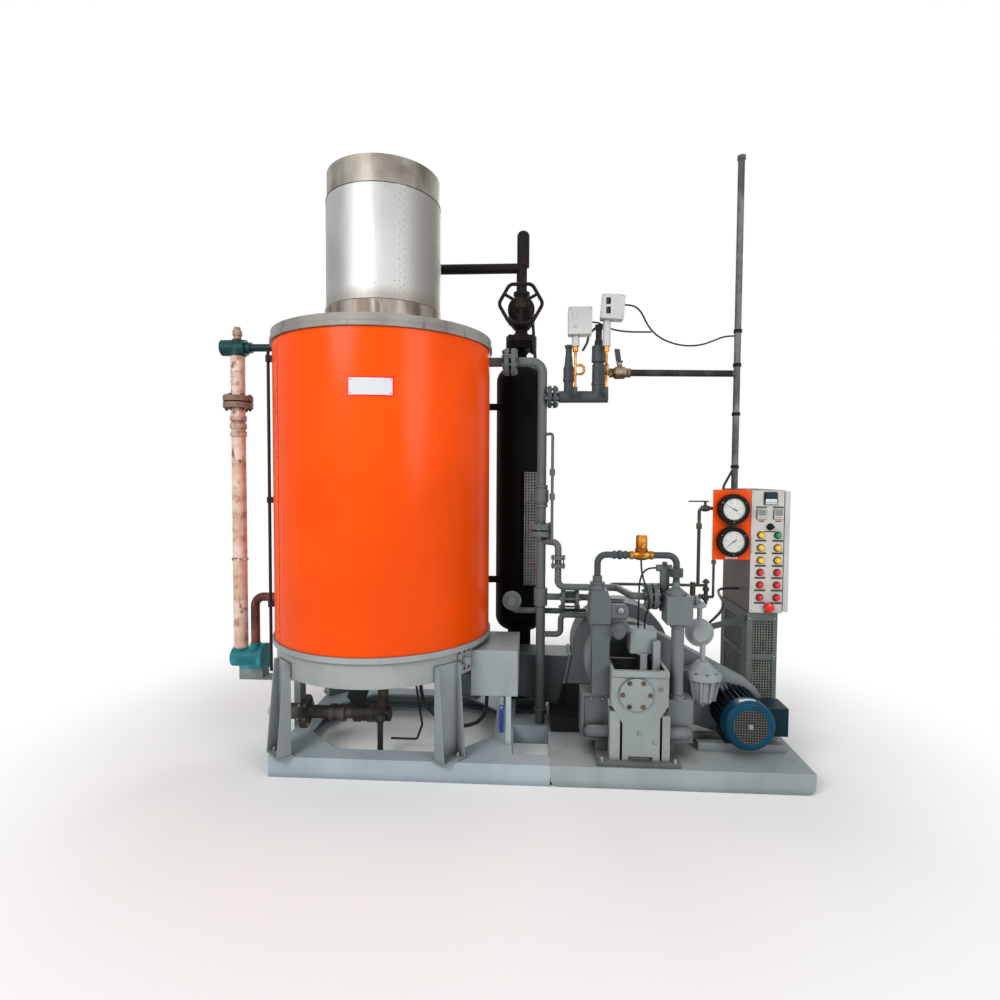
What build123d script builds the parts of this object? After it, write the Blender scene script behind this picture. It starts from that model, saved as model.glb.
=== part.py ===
from build123d import *
import math
import os

# Steam generator on a skid, millimetres, Z up, drum axis at X = 0 and Y = 0 while building
# Ground frame
BEAM_HEIGHT = 88
BEAM_WIDTH = 90
BEAM_WEB = 8
BEAM_FLANGE = 12
SKID_FRONT_Y = -385
SKID_REAR_Y = 440
SKID_LEFT_X = -409
PLATFORM_LEFT_X = 788
PLATFORM_RIGHT_X = 1862
CROSS_BEAM_RIGHT_X = 625
MIDDLE_BEAM_Y = 0
PLATE_T = 8
APRON_CORNER_R = 38
GUSSET_T = 10
GUSSET_LEG = 170
STRUT_INSET = 53
STRUT_WIDTH = 24
STRUT_T = 10

# Drum and flue
DRUM_R = 500
DRUM_WALL = 8
DRUM_Z0 = 557
DRUM_Z1 = 1870
LOW_BEAD_LIP = 8
LOW_BEAD_R = DRUM_R + LOW_BEAD_LIP
LOW_BEAD_H = 24
PAN_SETBACK = 10
PAN_R = DRUM_R - PAN_SETBACK
PAN_H = 108
PATCH_ANGLE = -33
PATCH_WIDTH = 76
PATCH_T = 6
PATCH_MARGIN = 14
SIGHT_PORT_R = 17
SIGHT_PORT_LEN = 24
SIGHT_PORT_Z = 486
TOP_BEAD_LIP = 11
TOP_BEAD_R = DRUM_R + TOP_BEAD_LIP
TOP_BEAD_H = 18
LID_LIP = 6
LID_R = DRUM_R + LID_LIP
LID_BAND_H = 32
LID_RISE = 30
FLUE_R = 265
FLUE_WALL = 5
COLLAR_LIP = 6
COLLAR_R = FLUE_R + COLLAR_LIP
COLLAR_H = 93
FLUE_TOP_Z = 2656
FLUE_REVEAL = 117
FLUE_Z1 = FLUE_TOP_Z - FLUE_REVEAL
FLUE_LINER_R = FLUE_R - FLUE_WALL
FLUE_LINER_H = 176
FLUE_LINER_Z0 = FLUE_TOP_Z - FLUE_LINER_H
LEG_WEB_WIDTH = 116
LEG_T = 7
LEG_DEPTH_LOW = 62
LEG_DEPTH_TOP = 26
LEG_TOP_Z = 492
FOOT_T = 10
FOOT_WIDTH = 124
LEG_ANGLES = (45, 135, 225, 315)

# Burner under the drum
WINDBOX_R = 232
WINDBOX_H = 95
GAS_Y = -150
GAS_Z = 190
GAS_FLANGE_X = -344
GAS_STEPS = ((16, 75, 75), (110, 30, 30), (26, 38, 38), (20, 33, 33), (25, 38, 38), (42, 25, 25),
             (30, 40, 40), (34, 36, 36), (30, 40, 40))
GAS_COCK_R = 34
GAS_COCK_X = 28
GAS_COCK_LEN = 74
GAS_RISER_R = 24
COCK_STEM_R = 11
COCK_STEM_LEN = 26
COCK_LEVER_LEN = 150
COCK_LEVER_WIDTH = 24
COCK_LEVER_T = 10
END_CAP_R = 36
END_CAP_X = -478
LINK_R = 5
LINK_BEND = 14
LINK_POINTS = ((64, -150, 75), (185, -150, 75), (208, -145, 141), (172, -120, 336))
CHUTE_LOW = (-215, 190, 92)
CHUTE_HIGH = (-120, 120, 332)
CHUTE_WIDTH = 120
CHUTE_T = 14

# Air duct, blower and belt guard
DUCT_Y0 = 105
DUCT_LEG_GAP = 12.7
FOOT_INNER_R = PAN_R - LEG_T - FOOT_WIDTH / 2
DUCT_DEPTH = FOOT_INNER_R * math.cos(math.radians(LEG_ANGLES[0])) - DUCT_LEG_GAP - DUCT_Y0
SCROLL_X = 1142
SCROLL_Z = 434
SCROLL_R = 235
DUCT_START_X = 150
DUCT_START_H = 78
DUCT_TOP_Z = 408
DUCT_FALL = 10
DUCT_END_X = 890
DUCT_SLANT = 49
DUCT_LOW_Z = 154
DUCT_KNEE_X = 636
DUCT_KNEE_Z = 194
DUCT_HIP_X = 420
DUCT_HIP_Z = 290
DUCT_FLANGE_T = 14
DUCT_FLANGE_LIP = 10
STAND_LEFT_X = 800
STAND_RIGHT_X = 1050
STAND_Y0 = -60
STAND_Y1 = DUCT_Y0 + DUCT_DEPTH
COVER_SINK = 60
COVER_X0 = DRUM_R - COVER_SINK
COVER_REACH = 148
COVER_X1 = DRUM_R + COVER_REACH
COVER_Y0 = -215
COVER_Z0 = 310
COVER_Z1 = 514
GUARD_Y0 = -70
GUARD_DEPTH = 90
GUARD_BIG_R = 187
GUARD_SMALL_R = 134
GUARD_HOLE_X = 1602
GUARD_HOLE_Z = 322
GUARD_HOLE_R = 26
SHAFT_R = 22

# Motor
MOTOR_X = 1632
MOTOR_Z = 235
COWL_R = 106
COWL_Y0 = -292
COWL_LEN = 62
COWL_ROUND = 16
COWL_RECESS = 34
GRILLE_R = 72
GRILLE_PITCH = 11
GRILLE_WIRE = 3
GRILLE_SET = 2
GRILLE_HUB = 26
MOTOR_BODY_R = 84
FIN_R = 106
FIN_T = 5
FIN_COUNT = 28
TERMINAL_X1 = 1812
TERMINAL_Y0 = -232
TERMINAL_DEPTH = 118
TERMINAL_Z0 = 172
TERMINAL_H = 122
RAIL_X0 = 1440
RAIL_X1 = 1812
RAIL_H = 35
RAIL_WIDTH = 38
RAIL_YS = (-206, -122)
MOTOR_FOOT_WIDTH = 150

# Pump
PUMP_BASE_X0 = 985
PUMP_BASE_X1 = 1322
PUMP_BASE_Y0 = -376
PUMP_BASE_Y1 = -130
PUMP_BASE_T = 16
CRANK_Y0 = -352
CRANK_Y1 = -170
CRANK_X0 = 1040
CRANK_X1 = 1276
CRANK_TOP_Z = 484
CRANK_SHOULDER_Z = 340
CRANK_WAIST_Z = 284
CRANK_WAIST_INSET = 34
CRANK_NECK_Z = 262
CRANK_NECK_X0 = 1088
CRANK_NECK_X1 = 1242
CRANK_SLOT = (1113, 1213, 18, 14)
CRANK_WALL = 14
CRANK_WELL_DEPTH = 84
CRANK_LIP = 8
CRANK_LIP_H = 25
CRANK_COVER_X = 1142
CRANK_COVER_Z = 386
CRANK_COVER_R = 69
CRANK_COVER_T = 12
STRAP_Y0 = -350
STRAP_DEPTH = 60
LEFT_STRAP = (1036, 1078, 310)
RIGHT_STRAP = (1252, 1284, 295)
CYLINDER_Y0 = -280
CYLINDER_Y1 = -165
LEFT_BOX = (922, 1036, 155, 356)
LEFT_FOOT = (988, 1036)
LEFT_ARM_X = 958
ARM_Y = -294
ARM_Z = 202
ARM_R = 25
BOX_RIM = 12
BOX_RECESS = 8
LEFT_COLUMN = (967, 1039, 660)
COLUMN_Y0 = -285
COLUMN_Y1 = -205
LEFT_HEAD = (952, 1044, 805)
HEAD_Y0 = -300
HEAD_Y1 = -190
HEAD_SHOULDER_Z = 752
HEAD_TOP_INSET = 8
HEAD_SLOPE_INSET = 16
EAR_X1 = 1116
EAR_Z0 = 688
EAR_Z1 = 746
EAR_T = 30
EAR_ROUND = 22
ARCH_X1 = 1112
ARCH_Z0 = 574
STACK_X1 = 1106
STACK_DEPTH = 48
STACK_ZS = (716, 734, 752)
STACK_T = 9
LEFT_CAP_STEPS = ((22, 34, 27), (8, 32, 32), (26, 20, 20))
LEFT_CAP_X = 988
PIPE_Y = -250
NOZZLE_FROM = (1020, -235, 646)
NOZZLE_TO = (1072, -300, 637)
NOZZLE_R = 21
NOZZLE_FLANGE_R = 32
NOZZLE_FLANGE_T = 16
KNOB_RIB_COUNT = 14
KNOB_RIB_R = 4
ELBOW_FROM = (1056, -272, 640)
ELBOW_TO = (1124, -262, 632)
ELBOW_R = 14
RIGHT_BOX = (1290, 1396, 155, 338)
RIGHT_FOOT = (1290, 1320)
RIGHT_COLUMN_X = 1332
RIGHT_COLUMN_R = 27
RIGHT_COLLAR_R = 34
RIGHT_COLLAR_H = 16
RIGHT_ARM_X = 1366
HEAD_VALVE_Y = -262
HEAD_VALVE_Z = 766
HEAD_VALVE_STEPS = ((14, 16, 16), (8, 20, 20), (12, 12, 12))
POST_X = 1287
POST_Y = -186
POST_R = 21
POST_Z0 = 700
POST_TEE_X0 = 1251
POST_TEE_X1 = 1317
POST_TEE_Z = 888
POST_TEE_R = 15
POST_PLUG_R = 11
POST_PLUG_Z = 915
RIGHT_HEAD = (1274, 1384, 662, 785)
RIGHT_CAP_STEPS = ((10, 44, 44), (18, 42, 22), (27, 16, 16))
RIGHT_CAP_X = 1322
ACTUATOR_BOX = (1134, 1250, -232, -150, 517, 625)
ACTUATOR_POST_R = 30
ACTUATOR_BAR = (1228, 1258, -262, -236, 582)
EDGE_R = 6

# Pump pipework
LOOP_R = 14
LOOP_Z = 952
LOOP_BEND = 38
BRASS_X0 = 1125
BRASS_X1 = 1222
BRASS_STEPS = ((14, 19, 19), (20, 15, 22), (29, 22, 22), (20, 22, 15), (14, 19, 19))
BRASS_TOP_STEPS = ((20, 20, 20), (6, 29, 29), (52, 24, 24), (8, 24, 19))
UNION_Z = 861
UNION_H = 36
UNION_R = 28
COUPLING_STEPS = ((12, 18, 18), (10, 15, 15), (14, 20, 20), (12, 15, 15), (12, 18, 18))
COUPLING_X = 1052
DISCHARGE_R = 16
DISCHARGE_Z = 768
DISCHARGE_Y = -30
DISCHARGE_REACH = 79
DISCHARGE_TOP_Z = 976
DISCHARGE_TURN_X = 1105
DISCHARGE_BEND = 30
DISCHARGE_END_RUN = 60
PUMP_FLANGE_X = 1203
PUMP_FLANGE_Y = -215
PUMP_FLANGE_R = 56
PUMP_FLANGE_T = 18
PUMP_FLANGE_GAP = 9
DROP_FLANGE_R = 33
DROP_FLANGE_ZS = (862, 898)
DROP_FLANGE_T = 14
FEED_X = 1000
FEED_R = 16
FEED_Z = 706
FEED_BEND = 30
CHECK_FLANGE_R = 60
CHECK_FLANGE_REACH = 99
CHECK_FLANGE_PITCH = 65
CHECK_FLANGE_T = 16
CHECK_BODY_R = 30
RETURN_Z = 619
RETURN_LOW_Z = 524
RETURN_REACH = 97
RETURN_R = 14
RETURN_BEND = 24
SUCTION_REACH = 138
SUCTION_CAP_Y = 30
SUCTION_Y = 82
SUCTION_CAP_Z = 690
SUCTION_Z = 628
SUCTION_END_X = 978
SUCTION_R = 14
SUCTION_BEND = 22
SUCTION_CAP_STEPS = ((8, 26, 30), (16, 45, 45), (6, 34, 34), (12, 22, 22))

# Pulsation chamber beside the pump
CHAMBER_X = 1464
CHAMBER_Y = -162
CHAMBER_Z = 292
CHAMBER_BODY_STEPS = ((14, 40, 52), (95, 52, 64))
CHAMBER_CAP_STEPS = ((22, 82, 82), (10, 82, 74), (40, 68, 24))
CHAMBER_STEM_R = 12
CHAMBER_DRAIN_H = 20
CHAMBER_RIB_T = 9
CHAMBER_RIB_COUNT = 10
CHAMBER_RIB_DEPTH = 78
LENS_Z = 600
LENS_STEPS = ((22, 34, 58), (12, 62, 62), (22, 58, 34))
BRANCH_POINTS = ((1384, -240, 735), (1448, -240, 735), (1448, -162, 735), (1448, -162, 640))
BRANCH_R = 11
BRANCH_BEND = 20
TIE_FROM = (1496, -150, 622)
TIE_TO = (1722, 40, 620)
TIE_HEIGHT = 26
TIE_T = 8

# Control cabinet
CAB_X0 = 1726
CAB_X1 = 1878
CAB_Y0 = 20
CAB_Y1 = 400
CAB_Z0 = 650
CAB_Z1 = 1228
CAB_WALL = 4
DOOR_GAP = 5
DOOR_T = 24
DOOR_MARGIN = 6
HINGE_R = 9
HINGE_H = 40
HINGE_GAP = 0.5
HINGE_ZS = (740, 1090)
HINGE_OFFSET = 14
LEAF_T = 6
GAUGE_PLATE_X0 = 1552
GAUGE_PLATE_Z0 = 899
GAUGE_PLATE_T = 4
GAUGE_X = 1640
GAUGE_ZS = (1138, 986)
GAUGE_R = 70
GAUGE_T = 34
GAUGE_FACE_R = 52
GAUGE_RECESS = 8
BUTTON_XS = (1773, 1850)
BUTTON_ZS = (1017, 958, 899, 842, 783, 724)
BUTTON_STEPS = ((7, 15, 15), (9, 11, 11), (4, 11, 6))
STOP_BUTTON_X = 1814
STOP_BUTTON_Z = 678
STOP_BUTTON_STEPS = ((8, 13, 13), (10, 21, 21), (8, 21, 12))
SELECTOR_Z = 1056
SELECTOR_STEPS = ((6, 16, 16), (6, 13, 13))
SELECTOR_GRIP_LEN = 30
SELECTOR_GRIP_T = 8
SELECTOR_GRIP_H = 20
CONTROLLER = (1784, 1842, 1160, 1218, 10)
METER_XS = (1752, 1829)
METER_WIDTH = 42
METER_Z = 1092
METER_H = 46
PEDESTAL_X0 = 1720
PEDESTAL_X1 = 1862
PEDESTAL_Y0 = 26
PEDESTAL_Y1 = 396
FRONT_WINDOWS = ((1748, 1842, 452, 612), (1748, 1842, 232, 430))
SIDE_WINDOWS = ((90, 330, 452, 600), (90, 330, 270, 430))
MESH_T = 2

# Steam separator and stop valve
SEP_GAP = 140
SEP_X = DRUM_R + SEP_GAP
SEP_Y = 400
SEP_R = 130
SEP_WALL = 8
SEP_Z0 = 540
SEP_Z1 = 1782
SEP_HEAD_H = 85
SEP_STAND_WIDTH = 122
SEP_STUB_R = 18
SEP_STUB_ZS = (1650, 735)
SEP_STUB_Y = 330
NOZZLE_PIPE_R = 30
VALVE_FLANGE_R = 82
VALVE_FLANGE_Z = 1960
VALVE_FLANGE_T = 32
VALVE_FLANGE_GAP = 4
VALVE_STEPS = ((40, 36, 32), (30, 40, 66), (80, 70, 70), (30, 66, 40), (40, 34, 34), (16, 44, 44))
BONNET_STEPS = ((70, 50, 50), (20, 70, 70), (14, 66, 40), (40, 26, 22), (30, 15, 15))
BONNET_Z = 2153
WHEEL_Y = 212
WHEEL_R = 99
WHEEL_CORNER_R = 112
WHEEL_CORNER_BEND = 34
WHEEL_RIM_R = 9
WHEEL_CORNERS = 6
WHEEL_HUB_R = 24
WHEEL_HUB_T = 22
WHEEL_SPOKE_R = 8
WHEEL_SPOKE_ANGLES = (30, 150, 270)
OUTLET_R = 28
OUTLET_SLEEVE_R = 33
OUTLET_SLEEVE_Z = 2400
OUTLET_TOP_Z = 2589
OUTLET_SHIFT = 7
OUTLET_DOME = 30
VENT_R = 26
VENT_Z = 2393
VENT_END_X = 130
VENT_ROUND = 13
STAY_LOW = (-36, 12, 20)
STAY_HIGH = (60, -78, -47)
STAY_R = 8

# Riser, header and safety valves
RISER_GAP = 250
RISER_X = DRUM_R + RISER_GAP
RISER_Y = 40
RISER_R = 22
RISER_TOP_Z = 1828
RISER_BEND = 52
RISER_FOOT_R = 32
RISER_FOOT_Z = 156
TOP_FLANGE_REACH = 70
TOP_FLANGE_R = 64
TOP_FLANGE_T = 20
TOP_FLANGE_GAP = 12
RISER_VALVE_STEPS = ((12, 30, 30), (16, 26, 34), (50, 34, 34), (16, 34, 26), (12, 30, 30))
RISER_VALVE_Z = 1138
RISER_FLANGE_R = 58
RISER_FLANGE_T = 24
RISER_FLANGE_ZS = (1000, 1032)
TEE_R = 32
TEE_LEN = 84
GAUGE_LINE_R = 7
GAUGE_LINE_REACH = 49
GAUGE_LINE_Y = -12
GAUGE_LINE_TOP_Z = 1485
GAUGE_LINE_BEND = 14
GAUGE_COCK_ZS = (1290, 1175)
GAUGE_COCK_R = 13
GAUGE_COCK_H = 30
SIGHT_OFFSET = 24
SIGHT_WIDTH = 66
SIGHT_Y0 = 236
SIGHT_Y1 = 262
SIGHT_Z0 = 722
SIGHT_Z1 = 1307
SIGHT_WALL = 3
SIGHT_LUG_ZS = (800, 1240)
SIGHT_LUG_H = 22
BRANCH_FLANGE_REACH = 27
BRANCH_FLANGE_PITCH = 24
BRANCH_FLANGE_R = 53
BRANCH_FLANGE_T = 16
HEADER_Z = 1663
HEADER_R = 28
HEADER_REACH = 76
HEADER_X0 = RISER_X + HEADER_REACH
HEADER_LEN = 232
HEADER_X1 = HEADER_X0 + HEADER_LEN
LEFT_VALVE_REACH = 123
LEFT_VALVE_X = RISER_X + LEFT_VALVE_REACH
LEFT_VALVE_STEPS = ((44, 22, 22), (10, 27, 27), (56, 25, 25), (8, 23, 21), (44, 20, 17), (40, 15, 15),
                    (12, 19, 19))
RIGHT_VALVE_REACH = 263
RIGHT_VALVE_X = RISER_X + RIGHT_VALVE_REACH
RIGHT_VALVE_STEPS = ((26, 30, 30), (12, 33, 33), (84, 30, 30), (12, 25, 25), (20, 33, 33), (54, 32, 32),
                     (30, 22, 18), (50, 15, 15), (20, 19, 19))
LIFT_PLACES = ((-13, 1988), (-45, 1960), (-55, 1915), (-75, 1880))
LIFT_R = 6
LIFT_BEND = 18
SIPHON_REACHES = (150, 292)
SIPHON_Y = -22
SIPHON_R = 6
SIPHON_Z0 = 1700
SIPHON_UNION_Z = 1862
SIPHON_UNION_R = 13
SIPHON_UNION_H = 24
SIPHON_LOOP = 40
SIPHON_LOOP_BEND = 17
SIPHON_LOOP_Z = 1760
SIPHON_ELBOW_R = 11
SIPHON_ELBOW_BEND = 22
SWITCH_NECK_R = 18
LEFT_SWITCH = (-36, 72, 1934, 2060)
RIGHT_SWITCH = (-32, 72, 2004, 2116)
RIGHT_SWITCH_TILT = 4
SWITCH_Y0 = -60
SWITCH_DEPTH = 62
SWITCH_EDGE = 5
BALL_Z = 1775
BALL_NIPPLE_R = 12
BALL_STEPS = ((14, 22, 22), (14, 18, 27), (44, 29, 29), (14, 27, 18), (14, 22, 22))
BALL_REACH = 312
BALL_STEM_R = 12
BALL_SPINDLE_R = 6
BALL_STEM_TOP_Z = 1822
BALL_LEVER_T = 8
BALL_LEVER_WIDTH = 26
BALL_LEVER_RUN = 30
BALL_LEVER_TIP = (96, 78)
POLE_GAP = 18
POLE_X = CAB_X0 - POLE_GAP
POLE_Y = 200
POLE_R = 16
POLE_Z0 = 950
POLE_Z1 = 2846
POLE_CAP_R = 20
POLE_CAP_H = 18
CROSS_R = 16
CROSS_Z1 = 1797
SADDLE_ZS = (1010, 1180)
SADDLE_H = 24
SADDLE_REACH = 24
POLE_BAND_ZS = (1330, 1590, 1830, 1995)
POLE_BAND_H = 16
POLE_BAND_R = 20
CONDUIT_POINTS = ((1708, 200, 1346), (1676, 152, 1312), (1612, 62, 1246), (1600, 42, 1190))
CONDUIT_R = 6
CONDUIT_BEND = 40

# Gauge pipes behind and left of the gauge plate
LINE_Y = 60
LINE_R = 8
LINE_BEND = 18
LINE_X = 1500
LINE_UNION_Z = 1040
LINE_UNION_H = 26
LINE_UNION_R = 13
LINE_COCK_X0 = 1508
LINE_COCK_STEPS = ((10, 13, 13), (18, 16, 16), (10, 13, 13))
LINE_STEM_R = 6
LINE_STEM_H = 36
LINE_LEVER_LEN = 76
LINE_LEVER_WIDTH = 16
LINE_LEVER_T = 6
TAP_Z = 769
TAP_R = 7
TAP_START_X = 1085
TAP_BEND = 24
STUB_X = 1476
STUB_R = 13
STUB_Z0 = 717
STUB_H = 66
NEEDLE_X = 1538
NEEDLE_Z0 = 679
NEEDLE_STEPS = ((18, 8, 8), (12, 14, 14), (34, 10, 10), (16, 15, 15), (22, 8, 8), (10, 16, 16), (8, 9, 9))
SECOND_X = 1572
SECOND_R = 6
SECOND_NUT_Z = 872
SECOND_NUT_H = 18
SECOND_NUT_R = 11
LINK_PIPE_Z = 714
LINK_PIPE_X0 = 1504
LINK_UNION_STEPS = ((10, 13, 13), (6, 10, 10), (10, 13, 13))

# Level control column left of the drum
TUBE_GAP = 218
TUBE_X = -DRUM_R - TUBE_GAP
TUBE_R = 33
TUBE_WALL = 5
TUBE_Z0 = 440
TUBE_Z1 = 1855
TUBE_FLANGE_R = 68
TUBE_FLANGE_ZS = (1606, 1638)
TUBE_FLANGE_T = 26
TUBE_RIBS = ((1470, 24), (1508, 24), (1546, 24), (868, 12))
TUBE_RIB_R = 38
HEAD_LEN = 118
HEAD_BACK = 74
HEAD_LEFT_X = TUBE_X - HEAD_BACK
HEAD_Z = 1895
HEAD_BODY_R = 38
HEAD_NECK_R = 26
HEAD_CAP_STEPS = ((12, 26, 26), (20, 18, 18), (24, 22, 22), (16, 15, 15))
HEAD_STUB_R = 18
BASE_BODY_R = 46
BASE_Z = 392
BASE_BACK = 37
BASE_REACH = 126
BASE_FLANGE_T = 22
SHOE_INSET = 6
SHOE_LEN = 116
SHOE_Z0 = 290
SHOE_WIDTH = 70
BACK_PIPE_R = 21
BACK_PIPE_REACH = 73
BACK_PIPE_Z = 690
BACK_PIPE_BEND = 45
SHOE_LEG_T = 31
CABLE_ANGLE = 203
CABLE_R = 7
CABLE_STANDOFF = 0.6
CABLE_Z0 = 395
CABLE_Z1 = 1838
CLAMP_ZS = (1790, 1160, 690)
CLAMP_H = 26
CLAMP_WIDTH = 34
CLAMP_T = 4

# Small drain valve under the duct cover
DRAIN_INSET = 71
DRAIN_X = COVER_X1 - DRAIN_INSET
DRAIN_Y = -196
DRAIN_R = 13
DRAIN_BODY_R = 18
DRAIN_DROP = 46
DRAIN_STEM_LEN = 14
DRAIN_LEVER_LEN = 112
DRAIN_LEVER_WIDTH = 20
DRAIN_LEVER_T = 6

# Hanging cables and hoses
CORD_R = 4
HOSE_R = 9
CABINET_HOSE_R = 6
BEND_SHARE = 0.45
PIVOT_PLAY = 0.5
SWITCH_CORD = ((1120, -28, 2072), (1162, -28, 2072), (1204, 0, 2046), (1236, 40, 2000), (1285, 75, 1958),
               (1350, 105, 1932), (1430, 132, 1919), (1515, 155, 1926), (1590, 180, 1955), (1645, 200, 1981),
               (1692, 200, 1981))
LEFT_CORD = ((972, -10, 2000), (1000, -10, 2000), (1030, 2, 1986), (1064, 12, 1974), (1108, 24, 1967),
             (1160, 36, 1965), (1212, 48, 1967), (1260, 57, 1969))
SOLENOID_CORD = ((1173, -250, 930), (1173, -250, 895), (1180, -268, 850), (1196, -284, 800), (1206, -280, 748),
                 (1203, -252, 708), (1198, -215, 678), (1198, -215, 625))
POST_CORD = ((1251, -186, 888), (1221, -186, 888), (1195, -185, 870), (1182, -184, 838), (1178, -183, 796),
             (1178, -182, 740), (1176, -186, 682), (1176, -186, 625))
HOSE_CORD = ((190, -90, 330), (190, -90, 260), (228, -95, 194), (292, -99, 141), (368, -102, 118),
             (439, -105, 130), (480, -108, 161), (504, -110, 208), (504, -110, 310))
CABINET_CORD = ((1492, -162, 645), (1536, -152, 680), (1570, -100, 705), (1588, -32, 718), (1594, 36, 728),
                (1606, 98, 736), (1632, 142, 738), (1676, 164, 738), (1726, 164, 738))

UP = (0, 0, 1)
FULL_TURN = 360
HALF_TURN = 180
QUARTER_TURN = 90
parts = {}


def keep(name, shape):
    # Files one named sub-component
    parts[name] = shape


def block(x0, x1, y0, y1, z0, z1):
    # Box between two corners
    body = Box(x1 - x0, y1 - y0, z1 - z0, align=(Align.MIN, Align.MIN, Align.MIN))
    return Pos(x0, y0, z0) * body


def soft_block(x0, x1, y0, y1, z0, z1, radius):
    # Box with rounded edges
    body = block(x0, x1, y0, y1, z0, z1)
    return fillet(body.edges(), radius)


def rod(start, end, radius):
    # Round bar between two points
    axis = Vector(*end) - Vector(*start)
    plane = Plane(origin=start, z_dir=axis)
    return plane * Cylinder(radius, axis.length, align=(Align.CENTER, Align.CENTER, Align.MIN))


def turned(start, direction, steps):
    # Turned body of stacked steps, each a length and its two radii
    points = [(0, 0)]
    height = 0
    for length, low, high in steps:
        points.append((low, height))
        height = height + length
        points.append((high, height))
    points.append((0, height))
    clean = [points[0]]
    for point in points[1:]:
        if point != clean[-1]:
            clean.append(point)
    face = make_face(Polyline([(x, 0, z) for x, z in clean], close=True))
    body = revolve(face, Axis.Z)
    return Plane(origin=start, z_dir=direction) * body


def slab(outline, y0, depth):
    # Plate drawn in the XZ plane and pushed back along Y
    face = make_face(Polyline([(x, y0, z) for x, z in outline], close=True))
    return extrude(face, amount=depth, dir=(0, 1, 0))


def pipe(points, radius, bend):
    # Round pipe with one bend radius
    path = FilletPolyline(*points, radius=bend)
    start = Plane(origin=path @ 0, z_dir=path % 0)
    return sweep(start * Circle(radius), path=path)


def bar(start, end, width, thickness):
    # Flat bar between two points, its width upright
    axis = Vector(*end) - Vector(*start)
    side = Vector(*UP).cross(axis)
    plane = Plane(origin=start, x_dir=side, z_dir=axis)
    return plane * Box(thickness, width, axis.length, align=(Align.CENTER, Align.CENTER, Align.MIN))


def ring(outer, inner, z0, height):
    # Upright ring
    low = Pos(0, 0, z0)
    full = low * Cylinder(outer, height, align=(Align.CENTER, Align.CENTER, Align.MIN))
    hole = low * Cylinder(inner, height, align=(Align.CENTER, Align.CENTER, Align.MIN))
    return full - hole


def cord(name, points, radius):
    # Hanging cable with runs and tangent arcs
    radii = []
    for before, here, after in zip(points, points[1:], points[2:]):
        first = Vector(*here) - Vector(*before)
        second = Vector(*after) - Vector(*here)
        half = math.radians(first.get_angle(second)) / 2
        radii.append(BEND_SHARE * min(first.length, second.length) / math.tan(half))
    path = FilletPolyline(*points, radius=radii)
    start = Plane(origin=path @ 0, z_dir=path % 0)
    keep(name, sweep(start * Circle(radius), path=path))
    print(name, round(path.length), [round(r) for r in radii])


def channel(length):
    # Rolled channel along X, its back on the XZ plane and its flanges towards Y
    top = BEAM_HEIGHT - BEAM_FLANGE
    profile = ((0, 0), (BEAM_WIDTH, 0), (BEAM_WIDTH, BEAM_FLANGE), (BEAM_WEB, BEAM_FLANGE), (BEAM_WEB, top),
               (BEAM_WIDTH, top), (BEAM_WIDTH, BEAM_HEIGHT), (0, BEAM_HEIGHT))
    face = make_face(Polyline([(0, y, z) for y, z in profile], close=True))
    return extrude(face, amount=length, dir=(1, 0, 0))


def skid():
    right = PLATFORM_LEFT_X
    front_in = SKID_FRONT_Y + BEAM_WIDTH
    rear_in = SKID_REAR_Y - BEAM_WIDTH
    left_in = SKID_LEFT_X + BEAM_WIDTH
    cross_in = CROSS_BEAM_RIGHT_X - BEAM_WIDTH
    long_run = channel(right - SKID_LEFT_X)
    short_run = channel(rear_in - front_in)
    keep("front_beam", Pos(SKID_LEFT_X, SKID_FRONT_Y, 0) * long_run)
    keep("rear_beam", Pos(right, SKID_REAR_Y, 0) * Rot(0, 0, HALF_TURN) * long_run)
    keep("left_beam", Pos(SKID_LEFT_X, rear_in, 0) * Rot(0, 0, -QUARTER_TURN) * short_run)
    keep("cross_beam", Pos(CROSS_BEAM_RIGHT_X, front_in, 0) * Rot(0, 0, QUARTER_TURN) * short_run)
    keep("middle_beam", Pos(CROSS_BEAM_RIGHT_X, MIDDLE_BEAM_Y, 0) * channel(right - CROSS_BEAM_RIGHT_X))
    plates = []
    for x, y, sx, sy in ((left_in, front_in, 1, 1), (cross_in, front_in, -1, 1),
                         (left_in, rear_in, 1, -1), (cross_in, rear_in, -1, -1)):
        corner = [(x, y, 0), (x + sx * GUSSET_LEG, y, 0), (x, y + sy * GUSSET_LEG, 0)]
        plate = extrude(make_face(Polyline(corner, close=True)), amount=GUSSET_T, dir=(0, 0, 1))
        plates.append(Pos(0, 0, BEAM_HEIGHT - GUSSET_T) * plate)
    keep("corner_gussets", Compound(plates))
    strut_x0 = COVER_X1 - STRUT_INSET
    strut_x1 = strut_x0 + STRUT_WIDTH
    keep("cover_strut", block(strut_x0, strut_x1, COVER_Y0, COVER_Y0 + STRUT_T, BEAM_HEIGHT, COVER_Z0))


def platform():
    x0 = PLATFORM_LEFT_X
    x1 = PLATFORM_RIGHT_X
    outer = block(x0, x1, SKID_FRONT_Y, SKID_REAR_Y, 0, BEAM_HEIGHT)
    low = outer.faces().sort_by(Axis.Z)[0]
    ends = low.edges().filter_by(Axis.Y)
    outer = fillet(ends, APRON_CORNER_R)
    inner = block(x0 + PLATE_T, x1 - PLATE_T, SKID_FRONT_Y + PLATE_T, SKID_REAR_Y - PLATE_T, 0,
                  BEAM_HEIGHT - PLATE_T)
    keep("pump_platform", outer - inner)


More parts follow.
